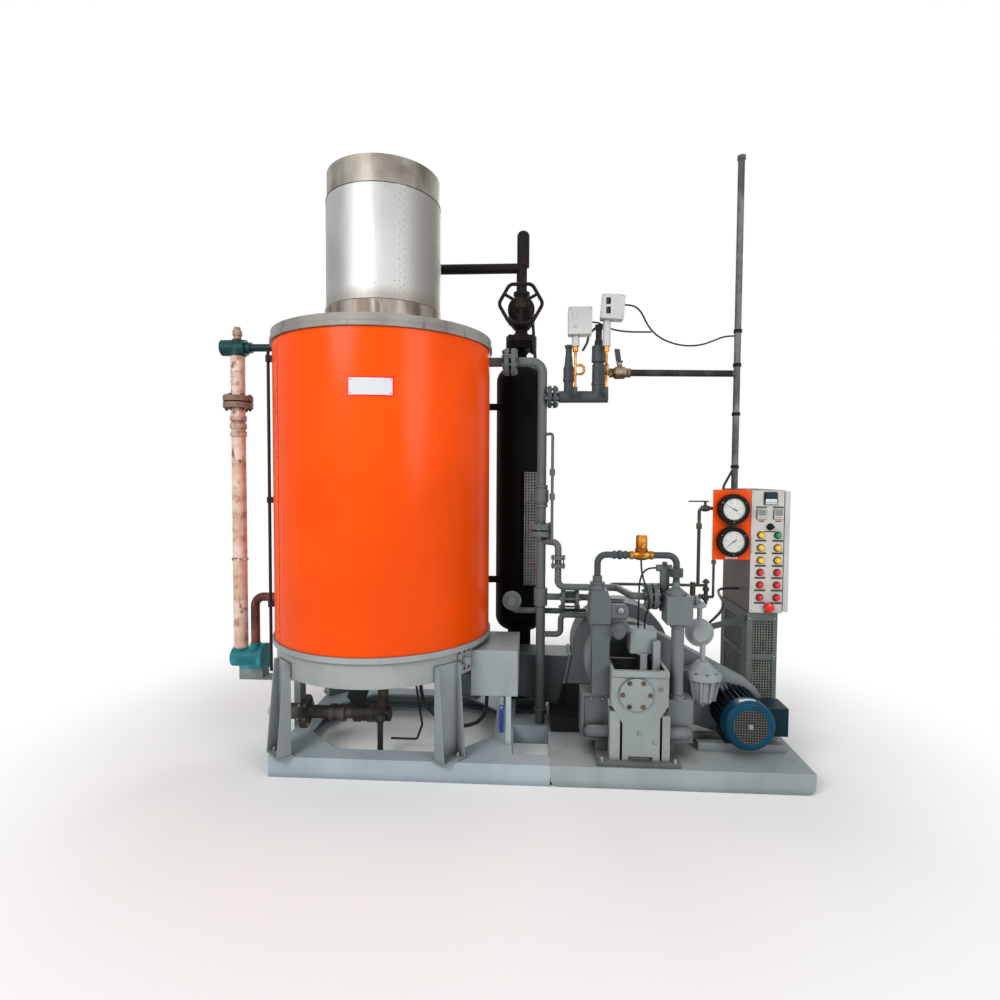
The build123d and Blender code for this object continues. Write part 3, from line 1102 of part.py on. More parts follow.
def cabinet():
    outer = block(CAB_X0, CAB_X1, CAB_Y0, CAB_Y1, CAB_Z0, CAB_Z1)
    inner = block(CAB_X0 + CAB_WALL, CAB_X1, CAB_Y0 + CAB_WALL, CAB_Y1 - CAB_WALL, CAB_Z0 + CAB_WALL, CAB_Z1 - CAB_WALL)
    body = outer - inner
    axis_x = CAB_X1 + DOOR_GAP + DOOR_T
    axis_y = CAB_Y1 + HINGE_OFFSET
    door = block(CAB_X1 + DOOR_GAP, axis_x, CAB_Y0 + DOOR_MARGIN, CAB_Y1 - DOOR_MARGIN, CAB_Z0 + DOOR_MARGIN,
                 CAB_Z1 - DOOR_MARGIN)
    for z in HINGE_ZS:
        knuckle = rod((axis_x, axis_y, z), (axis_x, axis_y, z + HINGE_H), HINGE_R)
        leaf = block(CAB_X1 - HINGE_H, axis_x, CAB_Y1, CAB_Y1 + LEAF_T, z, z + HINGE_H)
        web = block(axis_x - LEAF_T, axis_x, CAB_Y1, axis_y, z, z + HINGE_H)
        body = body + leaf + web + knuckle
        z_door = z + HINGE_H + HINGE_GAP
        knuckle = rod((axis_x, axis_y, z_door), (axis_x, axis_y, z_door + HINGE_H), HINGE_R)
        leaf = block(axis_x - LEAF_T, axis_x, CAB_Y1 - DOOR_MARGIN, axis_y, z_door, z_door + HINGE_H)
        door = door + leaf + knuckle
    keep("cabinet_body", body)
    keep("cabinet_door", door)
    plate_y1 = CAB_Y0 + GAUGE_PLATE_T
    keep("gauge_plate", block(GAUGE_PLATE_X0, CAB_X0, CAB_Y0, plate_y1, GAUGE_PLATE_Z0, CAB_Z1))
    gauges = []
    for z in GAUGE_ZS:
        case = rod((GAUGE_X, CAB_Y0 - GAUGE_T, z), (GAUGE_X, CAB_Y0, z), GAUGE_R)
        gauges.append(case - rod((GAUGE_X, CAB_Y0 - GAUGE_T, z), (GAUGE_X, CAB_Y0 - GAUGE_T + GAUGE_RECESS, z),
                                 GAUGE_FACE_R))
    keep("pressure_gauges", Compound(gauges))
    buttons = []
    for x in BUTTON_XS:
        for z in BUTTON_ZS:
            buttons.append(turned((x, CAB_Y0, z), (0, -1, 0), BUTTON_STEPS))
    buttons.append(turned((STOP_BUTTON_X, CAB_Y0, STOP_BUTTON_Z), (0, -1, 0), STOP_BUTTON_STEPS))
    selector = turned((STOP_BUTTON_X, CAB_Y0, SELECTOR_Z), (0, -1, 0), SELECTOR_STEPS)
    grip = block(-SELECTOR_GRIP_LEN / 2, SELECTOR_GRIP_LEN / 2, CAB_Y0 - SELECTOR_GRIP_H, CAB_Y0,
                 -SELECTOR_GRIP_T / 2, SELECTOR_GRIP_T / 2)
    buttons.append(selector + Pos(STOP_BUTTON_X, 0, SELECTOR_Z) * grip)
    keep("panel_buttons", Compound(buttons))
    x0, x1, z0, z1, depth = CONTROLLER
    meters = [block(x0, x1, CAB_Y0 - depth, CAB_Y0, z0, z1)]
    for x in METER_XS:
        meters.append(block(x, x + METER_WIDTH, CAB_Y0 - depth, CAB_Y0, METER_Z, METER_Z + METER_H))
    keep("panel_meters", Compound(meters))
    box = block(PEDESTAL_X0, PEDESTAL_X1, PEDESTAL_Y0, PEDESTAL_Y1, BEAM_HEIGHT, CAB_Z0)
    box = box - block(PEDESTAL_X0 + CAB_WALL, PEDESTAL_X1 - CAB_WALL, PEDESTAL_Y0 + CAB_WALL, PEDESTAL_Y1 - CAB_WALL,
                      BEAM_HEIGHT + CAB_WALL, CAB_Z0 - CAB_WALL)
    sheets = []
    for x0, x1, z0, z1 in FRONT_WINDOWS:
        box = box - block(x0, x1, PEDESTAL_Y0, PEDESTAL_Y0 + CAB_WALL, z0, z1)
        sheets.append(block(x0, x1, PEDESTAL_Y0 + MESH_T, PEDESTAL_Y0 + CAB_WALL, z0, z1))
    for y0, y1, z0, z1 in SIDE_WINDOWS:
        box = box - block(PEDESTAL_X0, PEDESTAL_X0 + CAB_WALL, y0, y1, z0, z1)
        sheets.append(block(PEDESTAL_X0 + MESH_T, PEDESTAL_X0 + CAB_WALL, y0, y1, z0, z1))
    keep("cabinet_pedestal", box)
    keep("pedestal_mesh", Compound(sheets))


def separator():
    base = Pos(SEP_X, SEP_Y, 0)
    keep("separator_shell", base * ring(SEP_R, SEP_R - SEP_WALL, SEP_Z0, SEP_Z1 - SEP_Z0))
    low_z = SEP_Z0 - SEP_HEAD_H
    top = rod((SEP_X, SEP_Y, SEP_Z1), (SEP_X, SEP_Y, SEP_Z1 + SEP_HEAD_H), SEP_R)
    top = fillet(top.edges().sort_by(Axis.Z)[-1], SEP_HEAD_H - SEP_WALL)
    nozzle = rod((SEP_X, SEP_Y, SEP_Z1 + SEP_HEAD_H), (SEP_X, SEP_Y, VALVE_FLANGE_Z), NOZZLE_PIPE_R)
    flange_z = VALVE_FLANGE_Z + VALVE_FLANGE_T
    flange = rod((SEP_X, SEP_Y, VALVE_FLANGE_Z), (SEP_X, SEP_Y, flange_z), VALVE_FLANGE_R)
    keep("separator_top", top + nozzle + flange)
    bottom = rod((SEP_X, SEP_Y, low_z), (SEP_X, SEP_Y, SEP_Z0), SEP_R)
    bottom = fillet(bottom.edges().sort_by(Axis.Z)[0], SEP_HEAD_H - SEP_WALL)
    keep("separator_bottom", bottom)
    half = SEP_STAND_WIDTH / 2
    stand = block(SEP_X - half, SEP_X + half, SEP_Y - half, SEP_Y + half, BEAM_HEIGHT, SEP_Z0)
    keep("separator_stand", stand - bottom - parts["air_duct"])
    drum_body = rod((0, 0, DRUM_Z0), (0, 0, DRUM_Z1), DRUM_R)
    vessel = rod((SEP_X, SEP_Y, SEP_Z0), (SEP_X, SEP_Y, SEP_Z1), SEP_R)
    stubs = [rod((0, SEP_STUB_Y, z), (SEP_X, SEP_STUB_Y, z), SEP_STUB_R) - drum_body - vessel for z in SEP_STUB_ZS]
    keep("separator_stubs", Compound(stubs))
    x0 = SEP_X + SIGHT_OFFSET
    x1 = x0 + SIGHT_WIDTH
    sheet = block(x0, x1, SIGHT_Y0, SIGHT_Y1, SIGHT_Z0, SIGHT_Z1)
    sheet = sheet - block(x0 + SIGHT_WALL, x1 - SIGHT_WALL, SIGHT_Y0 + SIGHT_WALL, SIGHT_Y1, SIGHT_Z0, SIGHT_Z1)
    for z in SIGHT_LUG_ZS:
        lug = block(x0, x1, SIGHT_Y1 - SIGHT_WALL, SEP_Y, z, z + SIGHT_LUG_H)
        sheet = sheet + (lug - vessel)
    keep("gauge_glass_guard", sheet)


def stop_valve():
    z0 = VALVE_FLANGE_Z + VALVE_FLANGE_T
    pack = ((VALVE_FLANGE_GAP, NOZZLE_PIPE_R, NOZZLE_PIPE_R), (VALVE_FLANGE_T, VALVE_FLANGE_R, VALVE_FLANGE_R))
    body = turned((SEP_X, SEP_Y, z0), UP, pack + VALVE_STEPS)
    bonnet = turned((SEP_X, SEP_Y, BONNET_Z), (0, -1, 0), BONNET_STEPS)
    reach = sum(step[0] for step in BONNET_STEPS)
    stem_y = WHEEL_Y - WHEEL_HUB_T
    stem = rod((SEP_X, SEP_Y - reach, BONNET_Z), (SEP_X, stem_y, BONNET_Z), LOOP_R)
    keep("stop_valve", body + bonnet + stem)
    centre = (SEP_X, WHEEL_Y, BONNET_Z)
    corners = []
    for i in range(WHEEL_CORNERS):
        turn = math.radians(FULL_TURN * i / WHEEL_CORNERS)
        corners.append((SEP_X + WHEEL_CORNER_R * math.cos(turn), WHEEL_Y, BONNET_Z + WHEEL_CORNER_R * math.sin(turn)))
    path = FilletPolyline(*corners, radius=WHEEL_CORNER_BEND, close=True)
    wheel = sweep(Plane(origin=path @ 0, z_dir=path % 0) * Circle(WHEEL_RIM_R), path=path)
    hub_y = WHEEL_Y - WHEEL_HUB_T
    wheel = wheel + rod((SEP_X, hub_y, BONNET_Z), (SEP_X, WHEEL_Y + WHEEL_RIM_R, BONNET_Z), WHEEL_HUB_R)
    for angle in WHEEL_SPOKE_ANGLES:
        turn = math.radians(angle)
        end = (SEP_X + WHEEL_R * math.cos(turn), WHEEL_Y, BONNET_Z + WHEEL_R * math.sin(turn))
        wheel = wheel + rod(centre, end, WHEEL_SPOKE_R)
    bore = rod((SEP_X, hub_y, BONNET_Z), (SEP_X, SEP_Y, BONNET_Z), LOOP_R + PIVOT_PLAY)
    keep("stop_valve_wheel", wheel - bore)
    top_z = z0 + sum(step[0] for step in pack + VALVE_STEPS)
    riser = rod((SEP_X, SEP_Y, top_z), (SEP_X, SEP_Y, OUTLET_SLEEVE_Z), OUTLET_R)
    sleeve_x = SEP_X + OUTLET_SHIFT
    sleeve = rod((sleeve_x, SEP_Y, OUTLET_SLEEVE_Z), (sleeve_x, SEP_Y, OUTLET_TOP_Z), OUTLET_SLEEVE_R)
    sleeve = fillet(sleeve.edges().sort_by(Axis.Z)[-1], OUTLET_DOME)
    keep("steam_outlet", riser + sleeve)
    vent = rod((VENT_END_X, SEP_Y, VENT_Z), (SEP_X, SEP_Y, VENT_Z), VENT_R)
    vent = fillet(vent.edges().filter_by(GeomType.CIRCLE).sort_by(Axis.X)[0], VENT_ROUND)
    keep("vent_branch", vent - riser - sleeve)
    stay_low = Vector(RISER_X, RISER_Y, RISER_TOP_Z) + Vector(*STAY_LOW)
    stay_high = Vector(SEP_X, SEP_Y, BONNET_Z) + Vector(*STAY_HIGH)
    stay = rod(tuple(stay_low), tuple(stay_high), STAY_R)
    keep("valve_stay", stay - parts["stop_valve"] - parts["riser_pipe"])


def riser():
    drum_body = rod((0, 0, DRUM_Z0), (0, 0, DRUM_Z1), DRUM_R)
    path = ((0, RISER_Y, RISER_TOP_Z), (RISER_X, RISER_Y, RISER_TOP_Z), (RISER_X, RISER_Y, BEAM_HEIGHT))
    tube = pipe(path, RISER_R, RISER_BEND) - drum_body
    foot = rod((RISER_X, RISER_Y, RISER_FOOT_Z), (RISER_X, RISER_Y, RISER_FOOT_Z + PLATE_T), RISER_FOOT_R)
    tee = rod((RISER_X, RISER_Y, FEED_Z - TEE_LEN / 2), (RISER_X, RISER_Y, FEED_Z + TEE_LEN / 2), TEE_R)
    keep("riser_pipe", tube + foot + tee)
    flange_step = TOP_FLANGE_T + TOP_FLANGE_GAP
    bare = pipe(path, RISER_R, RISER_BEND)
    flanges = []
    flange_x = DRUM_R + TOP_FLANGE_REACH
    for x in (flange_x, flange_x + flange_step):
        flanges.append(rod((x, RISER_Y, RISER_TOP_Z), (x + TOP_FLANGE_T, RISER_Y, RISER_TOP_Z), TOP_FLANGE_R) - bare)
    for z in RISER_FLANGE_ZS:
        flanges.append(rod((RISER_X, RISER_Y, z), (RISER_X, RISER_Y, z + RISER_FLANGE_T), RISER_FLANGE_R) - bare)
    keep("riser_flanges", Compound(flanges))
    keep("riser_check_valve", turned((RISER_X, RISER_Y, RISER_VALVE_Z), UP, RISER_VALVE_STEPS) - bare)
    line_x = RISER_X + GAUGE_LINE_REACH
    line = pipe(((RISER_X, RISER_Y, GAUGE_LINE_TOP_Z), (line_x, GAUGE_LINE_Y, GAUGE_LINE_TOP_Z),
                 (line_x, GAUGE_LINE_Y, DISCHARGE_TOP_Z)), GAUGE_LINE_R, GAUGE_LINE_BEND) - bare
    for z in GAUGE_COCK_ZS:
        line = line + rod((line_x, GAUGE_LINE_Y, z), (line_x, GAUGE_LINE_Y, z + GAUGE_COCK_H), GAUGE_COCK_R)
    keep("gauge_line", line - parts["discharge_line"] - parts["riser_check_valve"])


def header():
    bare = rod((RISER_X, RISER_Y, BEAM_HEIGHT), (RISER_X, RISER_Y, RISER_TOP_Z - RISER_BEND), RISER_R)
    neck = rod((RISER_X, RISER_Y, HEADER_Z), (HEADER_X0, RISER_Y, HEADER_Z), RISER_R)
    branch_x = RISER_X + BRANCH_FLANGE_REACH
    for x in (branch_x, branch_x + BRANCH_FLANGE_PITCH):
        neck = neck + rod((x, RISER_Y, HEADER_Z), (x + BRANCH_FLANGE_T, RISER_Y, HEADER_Z), BRANCH_FLANGE_R)
    main = rod((HEADER_X0, RISER_Y, HEADER_Z), (HEADER_X1, RISER_Y, HEADER_Z), HEADER_R)
    elbows = []
    siphon_xs = [RISER_X + reach for reach in SIPHON_REACHES]
    for x in siphon_xs:
        elbow = pipe(((x, RISER_Y, HEADER_Z), (x, SIPHON_Y, HEADER_Z), (x, SIPHON_Y, SIPHON_Z0)), SIPHON_ELBOW_R,
                     SIPHON_ELBOW_BEND)
        elbows.append(elbow)
    left_r = LEFT_VALVE_STEPS[0][1]
    left = turned((LEFT_VALVE_X, RISER_Y, HEADER_Z), UP, ((HEADER_R, left_r, left_r),) + LEFT_VALVE_STEPS)
    right_r = RIGHT_VALVE_STEPS[0][1]
    right = turned((RIGHT_VALVE_X, RISER_Y, HEADER_Z), UP, ((HEADER_R, right_r, right_r),) + RIGHT_VALVE_STEPS)
    lift = pipe([(RIGHT_VALVE_X + out, RISER_Y, z) for out, z in LIFT_PLACES], LIFT_R, LIFT_BEND)
    keep("safety_header", neck - bare + main + elbows + left + right + lift)
    siphons = []
    switches = []
    tops = (LEFT_SWITCH[2], RIGHT_SWITCH[2])
    aims = ((SIPHON_LOOP, 0), (0, -SIPHON_LOOP))
    for x, top, aim in zip(siphon_xs, tops, aims):
        stem = rod((x, SIPHON_Y, SIPHON_Z0), (x, SIPHON_Y, SIPHON_UNION_Z), SIPHON_R)
        union = rod((x, SIPHON_Y, SIPHON_UNION_Z), (x, SIPHON_Y, SIPHON_UNION_Z + SIPHON_UNION_H), SIPHON_UNION_R)
        far_x = x + aim[0]
        far_y = SIPHON_Y + aim[1]
        high = SIPHON_LOOP_Z + SIPHON_LOOP
        loop = pipe(((x, SIPHON_Y, SIPHON_LOOP_Z), (far_x, far_y, SIPHON_LOOP_Z), (far_x, far_y, high),
                     (x, SIPHON_Y, high)), SIPHON_R, SIPHON_LOOP_BEND)
        siphons.append(stem + union + loop)
        switches.append(rod((x, SIPHON_Y, SIPHON_UNION_Z + SIPHON_UNION_H), (x, SIPHON_Y, top), SWITCH_NECK_R))
    keep("siphons", Compound(siphons))
    y1 = SWITCH_Y0 + SWITCH_DEPTH
    x0, x1, z0, z1 = LEFT_SWITCH
    box = soft_block(siphon_xs[0] + x0, siphon_xs[0] + x1, SWITCH_Y0, y1, z0, z1, SWITCH_EDGE)
    keep("pressure_switch_left", box + switches[0])
    x0, x1, z0, z1 = RIGHT_SWITCH
    box = soft_block(siphon_xs[1] + x0, siphon_xs[1] + x1, SWITCH_Y0, y1, z0, z1, SWITCH_EDGE)
    pivot = Pos(siphon_xs[1], 0, z0)
    tilted = pivot * Rot(0, RIGHT_SWITCH_TILT, 0) * pivot.inverse() * box
    keep("pressure_switch_right", tilted + switches[1])
    ball_x0 = RISER_X + BALL_REACH
    nipple = rod((RIGHT_VALVE_X, RISER_Y, BALL_Z), (ball_x0, RISER_Y, BALL_Z), BALL_NIPPLE_R)
    ball = turned((ball_x0, RISER_Y, BALL_Z), (1, 0, 0), BALL_STEPS)
    ball_end = ball_x0 + sum(step[0] for step in BALL_STEPS)
    ball_x = (ball_x0 + ball_end) / 2
    stem = rod((ball_x, RISER_Y, BALL_Z), (ball_x, RISER_Y, BALL_STEM_TOP_Z), BALL_STEM_R)
    spindle = rod((ball_x, RISER_Y, BALL_Z), (ball_x, RISER_Y, BALL_STEM_TOP_Z + BALL_LEVER_T), BALL_SPINDLE_R)
    keep("ball_valve", nipple - right + ball + stem + spindle)
    half = BALL_LEVER_WIDTH / 2
    run, rise = BALL_LEVER_TIP
    top = BALL_STEM_TOP_Z + BALL_LEVER_T
    low = BALL_STEM_TOP_Z + PIVOT_PLAY
    flat = block(ball_x - half, ball_x + half, RISER_Y - half, RISER_Y + BALL_LEVER_RUN, low, top)
    outline = ((RISER_Y + BALL_LEVER_RUN, low), (RISER_Y + run, low + rise),
               (RISER_Y + run, top + rise), (RISER_Y + BALL_LEVER_RUN, top))
    face = make_face(Polyline([(ball_x - half, y, z) for y, z in outline], close=True))
    handle = extrude(face, amount=BALL_LEVER_WIDTH, dir=(1, 0, 0))
    hole = rod((ball_x, RISER_Y, BALL_STEM_TOP_Z), (ball_x, RISER_Y, top), BALL_SPINDLE_R + PIVOT_PLAY)
    keep("ball_valve_lever", flat + handle - hole)
    pole = rod((POLE_X, POLE_Y, POLE_Z0), (POLE_X, POLE_Y, POLE_Z1), POLE_R)
    cap = rod((POLE_X, POLE_Y, POLE_Z1 - POLE_CAP_H), (POLE_X, POLE_Y, POLE_Z1), POLE_CAP_R)
    saddles = []
    for z in SADDLE_ZS:
        saddle = block(POLE_X - SADDLE_REACH, CAB_X0, POLE_Y - SADDLE_REACH, POLE_Y + SADDLE_REACH, z, z + SADDLE_H)
        saddles.append(saddle)
    bands = [rod((POLE_X, POLE_Y, z), (POLE_X, POLE_Y, z + POLE_BAND_H), POLE_BAND_R) for z in POLE_BAND_ZS]
    conduit = pipe(CONDUIT_POINTS, CONDUIT_R, CONDUIT_BEND)
    keep("vent_pole", pole + cap + saddles + bands + conduit)
    cross = rod((ball_end, RISER_Y, BALL_Z), (POLE_X, POLE_Y, CROSS_Z1), CROSS_R)
    keep("cross_pipe", cross - parts["vent_pole"] - parts["ball_valve"])


def gauge_lines():
    plate_back = CAB_Y0 + GAUGE_PLATE_T
    high_z, low_z = GAUGE_ZS
    line = pipe(((GAUGE_X, plate_back, high_z), (GAUGE_X, LINE_Y, high_z), (LINE_X, LINE_Y, high_z),
                 (LINE_X, LINE_Y, TAP_Z)), LINE_R, LINE_BEND)
    union = rod((LINE_X, LINE_Y, LINE_UNION_Z), (LINE_X, LINE_Y, LINE_UNION_Z + LINE_UNION_H), LINE_UNION_R)
    cock = turned((LINE_COCK_X0, LINE_Y, high_z), (1, 0, 0), LINE_COCK_STEPS)
    stem_x = LINE_COCK_X0 + sum(step[0] for step in LINE_COCK_STEPS) / 2
    stem_z = high_z + LINE_STEM_H
    stem = rod((stem_x, LINE_Y, high_z), (stem_x, LINE_Y, stem_z), LINE_STEM_R)
    tap = pipe(((TAP_START_X, DISCHARGE_Y, TAP_Z), (TAP_START_X, LINE_Y, TAP_Z), (NEEDLE_X, LINE_Y, TAP_Z)), TAP_R,
               TAP_BEND)
    main = rod((LEFT_CAP_X, DISCHARGE_Y, DISCHARGE_Z), (DISCHARGE_TURN_X, DISCHARGE_Y, DISCHARGE_Z), DISCHARGE_R)
    stub = rod((STUB_X, LINE_Y, STUB_Z0), (STUB_X, LINE_Y, STUB_Z0 + STUB_H), STUB_R)
    needle = turned((NEEDLE_X, LINE_Y, NEEDLE_Z0), UP, NEEDLE_STEPS)
    second = pipe(((GAUGE_X, plate_back, low_z), (GAUGE_X, LINE_Y, low_z), (SECOND_X, LINE_Y, low_z),
                   (SECOND_X, LINE_Y, LINK_PIPE_Z)), SECOND_R, LINE_BEND)
    nut = rod((SECOND_X, LINE_Y, SECOND_NUT_Z), (SECOND_X, LINE_Y, SECOND_NUT_Z + SECOND_NUT_H), SECOND_NUT_R)
    link = rod((LINK_PIPE_X0, LINE_Y, LINK_PIPE_Z), (SECOND_X, LINE_Y, LINK_PIPE_Z), TAP_R)
    link_union = turned((LINK_PIPE_X0, LINE_Y, LINK_PIPE_Z), (1, 0, 0), LINK_UNION_STEPS)
    keep("gauge_lines", line + union + cock + stem + (tap - main) + stub + needle + second + nut + link + link_union)
    half = LINE_LEVER_WIDTH / 2
    lever_z = stem_z - LINE_LEVER_T
    lever = block(stem_x - LINE_LEVER_LEN, stem_x, LINE_Y - half, LINE_Y + half, lever_z, stem_z)
    eye = rod((stem_x, LINE_Y, lever_z), (stem_x, LINE_Y, stem_z), LINE_LEVER_WIDTH)
    bore = rod((stem_x, LINE_Y, lever_z), (stem_x, LINE_Y, stem_z), LINE_STEM_R + PIVOT_PLAY)
    keep("gauge_cock_lever", lever + eye - bore)


def level_column():
    drum_body = rod((0, 0, DRUM_Z0), (0, 0, DRUM_Z1), DRUM_R)
    base = Pos(TUBE_X, 0, 0)
    tube = base * ring(TUBE_R, TUBE_R - TUBE_WALL, TUBE_Z0, TUBE_Z1 - TUBE_Z0)
    for z, height in TUBE_RIBS:
        tube = tube + base * ring(TUBE_RIB_R, TUBE_R - TUBE_WALL, z, height)
    keep("level_tube", tube)
    flanges = [base * ring(TUBE_FLANGE_R, TUBE_R, z, TUBE_FLANGE_T) for z in TUBE_FLANGE_ZS]
    keep("level_flanges", Compound(flanges))
    right = HEAD_LEFT_X + HEAD_LEN
    head = rod((HEAD_LEFT_X, 0, HEAD_Z), (right, 0, HEAD_Z), HEAD_BODY_R)
    neck = rod((TUBE_X, 0, TUBE_Z1), (TUBE_X, 0, HEAD_Z), HEAD_BODY_R)
    throat = rod((right, 0, HEAD_Z), (right + HEAD_NECK_R, 0, HEAD_Z), HEAD_NECK_R)
    cap = turned((TUBE_X, 0, HEAD_Z + HEAD_NECK_R), UP, HEAD_CAP_STEPS)
    keep("level_head", head + neck + throat + cap)
    stub = rod((right + HEAD_NECK_R, 0, HEAD_Z), (0, 0, HEAD_Z), HEAD_STUB_R)
    top_bead = rod((0, 0, DRUM_Z1), (0, 0, DRUM_Z1 + TOP_BEAD_H), TOP_BEAD_R)
    lid = rod((0, 0, DRUM_Z1 + TOP_BEAD_H), (0, 0, HEAD_Z + HEAD_STUB_R), LID_R)
    keep("level_stub", stub - drum_body - top_bead - lid)
    base_x1 = TUBE_X + BASE_REACH
    back_x = TUBE_X + BACK_PIPE_REACH
    low = rod((TUBE_X - BASE_BACK, 0, BASE_Z), (base_x1, 0, BASE_Z), BASE_BODY_R)
    boss = rod((TUBE_X, 0, BASE_Z), (TUBE_X, 0, TUBE_Z0), TUBE_RIB_R)
    port = rod((back_x, 0, BASE_Z), (back_x, 0, TUBE_Z0 + BASE_FLANGE_T), BACK_PIPE_R + TUBE_WALL)
    rim = rod((base_x1 - BASE_FLANGE_T, 0, BASE_Z), (base_x1, 0, BASE_Z), BASE_BODY_R + BASE_FLANGE_T)
    keep("level_base", low + boss + port + rim)
    shoe_x0 = TUBE_X + SHOE_INSET
    shoe_x1 = shoe_x0 + SHOE_LEN
    half = SHOE_WIDTH / 2
    shoe = block(shoe_x0, shoe_x1, -half, half, SHOE_Z0, BASE_Z) - low - rim
    arm = block(shoe_x1, SKID_LEFT_X, -half, half, SHOE_Z0, SHOE_Z0 + FOOT_T)
    post = block(SKID_LEFT_X - SHOE_LEG_T, SKID_LEFT_X, -half, half, 0, SHOE_Z0)
    keep("level_shoe", shoe + arm + post)
    back = pipe(((0, 0, BACK_PIPE_Z), (back_x, 0, BACK_PIPE_Z), (back_x, 0, TUBE_Z0 + BASE_FLANGE_T)), BACK_PIPE_R,
                BACK_PIPE_BEND)
    keep("level_return", back - drum_body)
    turn = math.radians(CABLE_ANGLE)
    reach = LOW_BEAD_R + CABLE_STANDOFF + CABLE_R
    x = reach * math.cos(turn)
    y = reach * math.sin(turn)
    keep("sensor_cable", rod((x, y, CABLE_Z0), (x, y, CABLE_Z1), CABLE_R))
    clamps = []
    for z in CLAMP_ZS:
        outer = block(DRUM_R - CLAMP_T, reach + CABLE_R + CLAMP_T, -CLAMP_WIDTH / 2, CLAMP_WIDTH / 2, z, z + CLAMP_H)
        clamps.append(Rot(0, 0, CABLE_ANGLE) * outer - drum_body)
    keep("cable_clamps", Compound(clamps))


def drain_valve():
    body_z = COVER_Z0 - DRAIN_DROP
    nipple = rod((DRAIN_X, DRAIN_Y, body_z), (DRAIN_X, DRAIN_Y, COVER_Z0), DRAIN_R)
    ball = Pos(DRAIN_X, DRAIN_Y, body_z) * Sphere(DRAIN_BODY_R)
    stem_y = DRAIN_Y - DRAIN_BODY_R - DRAIN_STEM_LEN
    stem = rod((DRAIN_X, DRAIN_Y, body_z), (DRAIN_X, stem_y, body_z), DRAIN_LEVER_T)
    keep("drain_valve", nipple + ball + stem)
    half = DRAIN_LEVER_WIDTH / 2
    lever = block(DRAIN_X - half, DRAIN_X + half, stem_y, stem_y + DRAIN_LEVER_T, body_z - DRAIN_LEVER_LEN,
                  body_z + half)
    bore = rod((DRAIN_X, stem_y, body_z), (DRAIN_X, DRAIN_Y, body_z), DRAIN_LEVER_T + PIVOT_PLAY)
    keep("drain_lever", lever - bore)


def cords():
    cord("cord_switch", SWITCH_CORD, CORD_R)
    cord("cord_left_switch", LEFT_CORD, CORD_R)
    cord("cord_solenoid", SOLENOID_CORD, CORD_R)
    cord("cord_post", POST_CORD, CORD_R)
    cord("hose_burner", HOSE_CORD, HOSE_R)
    cord("hose_cabinet", CABINET_CORD, CABINET_HOSE_R)


def weld(name, *pieces):
    # Joins pieces that are welded, cast or held as one
    shape = parts.pop(pieces[0])
    for piece in pieces[1:]:
        shape = shape + parts.pop(piece)
    keep(name, shape)


def join_pieces():
    weld("skid_frame", "front_beam", "rear_beam", "left_beam", "cross_beam", "middle_beam", "corner_gussets",
         "cover_strut")
    weld("drum_lid", "drum_lid", "drum_upper_bead", "flue_collar")
    weld("burner_pan", "burner_pan", "drum_lower_bead")
    weld("windbox", "windbox", "cock_link", "ash_chute")
    weld("gas_line", "gas_line", "gas_cock", "line_end_cap")
    weld("blower_scroll", "blower_scroll", "blower_stand")
    weld("belt_guard", "belt_guard", "fan_shaft")
    weld("motor", "motor_body", "motor_cowl", "terminal_box")
    weld("crankcase", "crankcase", "crankcase_cover", "pump_straps")
    weld("left_pump_cylinder", "left_valve_box", "left_column", "left_head")
    weld("right_pump_cylinder", "right_valve_box", "right_column", "right_head")
    weld("actuator_box", "actuator_box", "actuator_bar")
    weld("pump_loop", "loop_left", "loop_right")
    weld("riser_pipework", "riser_pipe", "riser_flanges", "riser_check_valve", "gauge_line", "discharge_line",
         "pump_flanges", "feed_line", "return_line", "suction_line")
    weld("pulsation_chamber", "chamber_body", "chamber_cap", "pressure_regulator")
    weld("cabinet_pedestal", "cabinet_pedestal", "tie_bar")
    weld("panel_controls", "panel_buttons", "panel_meters")
    weld("separator_shell", "separator_shell", "separator_stubs")
    weld("separator_bottom", "separator_bottom", "separator_stand")
    weld("stop_valve", "stop_valve", "valve_stay")
    weld("steam_outlet", "steam_outlet", "vent_branch")
    weld("pressure_switches", "pressure_switch_left", "pressure_switch_right")
    weld("vent_pole", "vent_pole", "cross_pipe")
    weld("level_tube", "level_tube", "level_flanges")
    weld("level_head", "level_head", "level_stub")
    weld("level_base", "level_base", "level_shoe", "level_return")
    weld("sensor_cable", "sensor_cable", "cable_clamps")
    weld("duct_cover", "duct_cover", "drain_valve")


def export():
    # Centres the whole on its own footprint and writes one file a sub-component
    os.makedirs("parts", exist_ok=True)
    boxes = [shape.bounding_box() for shape in parts.values()]
    middle_x = (min(box.min.X for box in boxes) + max(box.max.X for box in boxes)) / 2
    middle_y = (min(box.min.Y for box in boxes) + max(box.max.Y for box in boxes)) / 2
    shift = Pos(-middle_x, -middle_y, 0)
    print("shift", shift.position)
    for name, shape in parts.items():
        export_step(shift * shape, "parts/" + name + ".step")


skid()
platform()
drum()
legs()
burner()
air_side()
motor()
pump()
pump_pipes()
chamber()
cabinet()
separator()
riser()
stop_valve()
header()
gauge_lines()
level_column()
drain_valve()
cords()
join_pieces()
export()
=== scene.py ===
# %% [markdown]
# A steam generator on a skid, dressed in Blender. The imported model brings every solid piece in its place,
# so this lesson adds what solids do not carry: paint, rust, bolts, dials, lamps and the hanging cables.
# Everything is in metres, in the frame of the model.

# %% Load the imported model
import math
from itertools import product

import bmesh
import bpy
from mathutils import Matrix, Vector


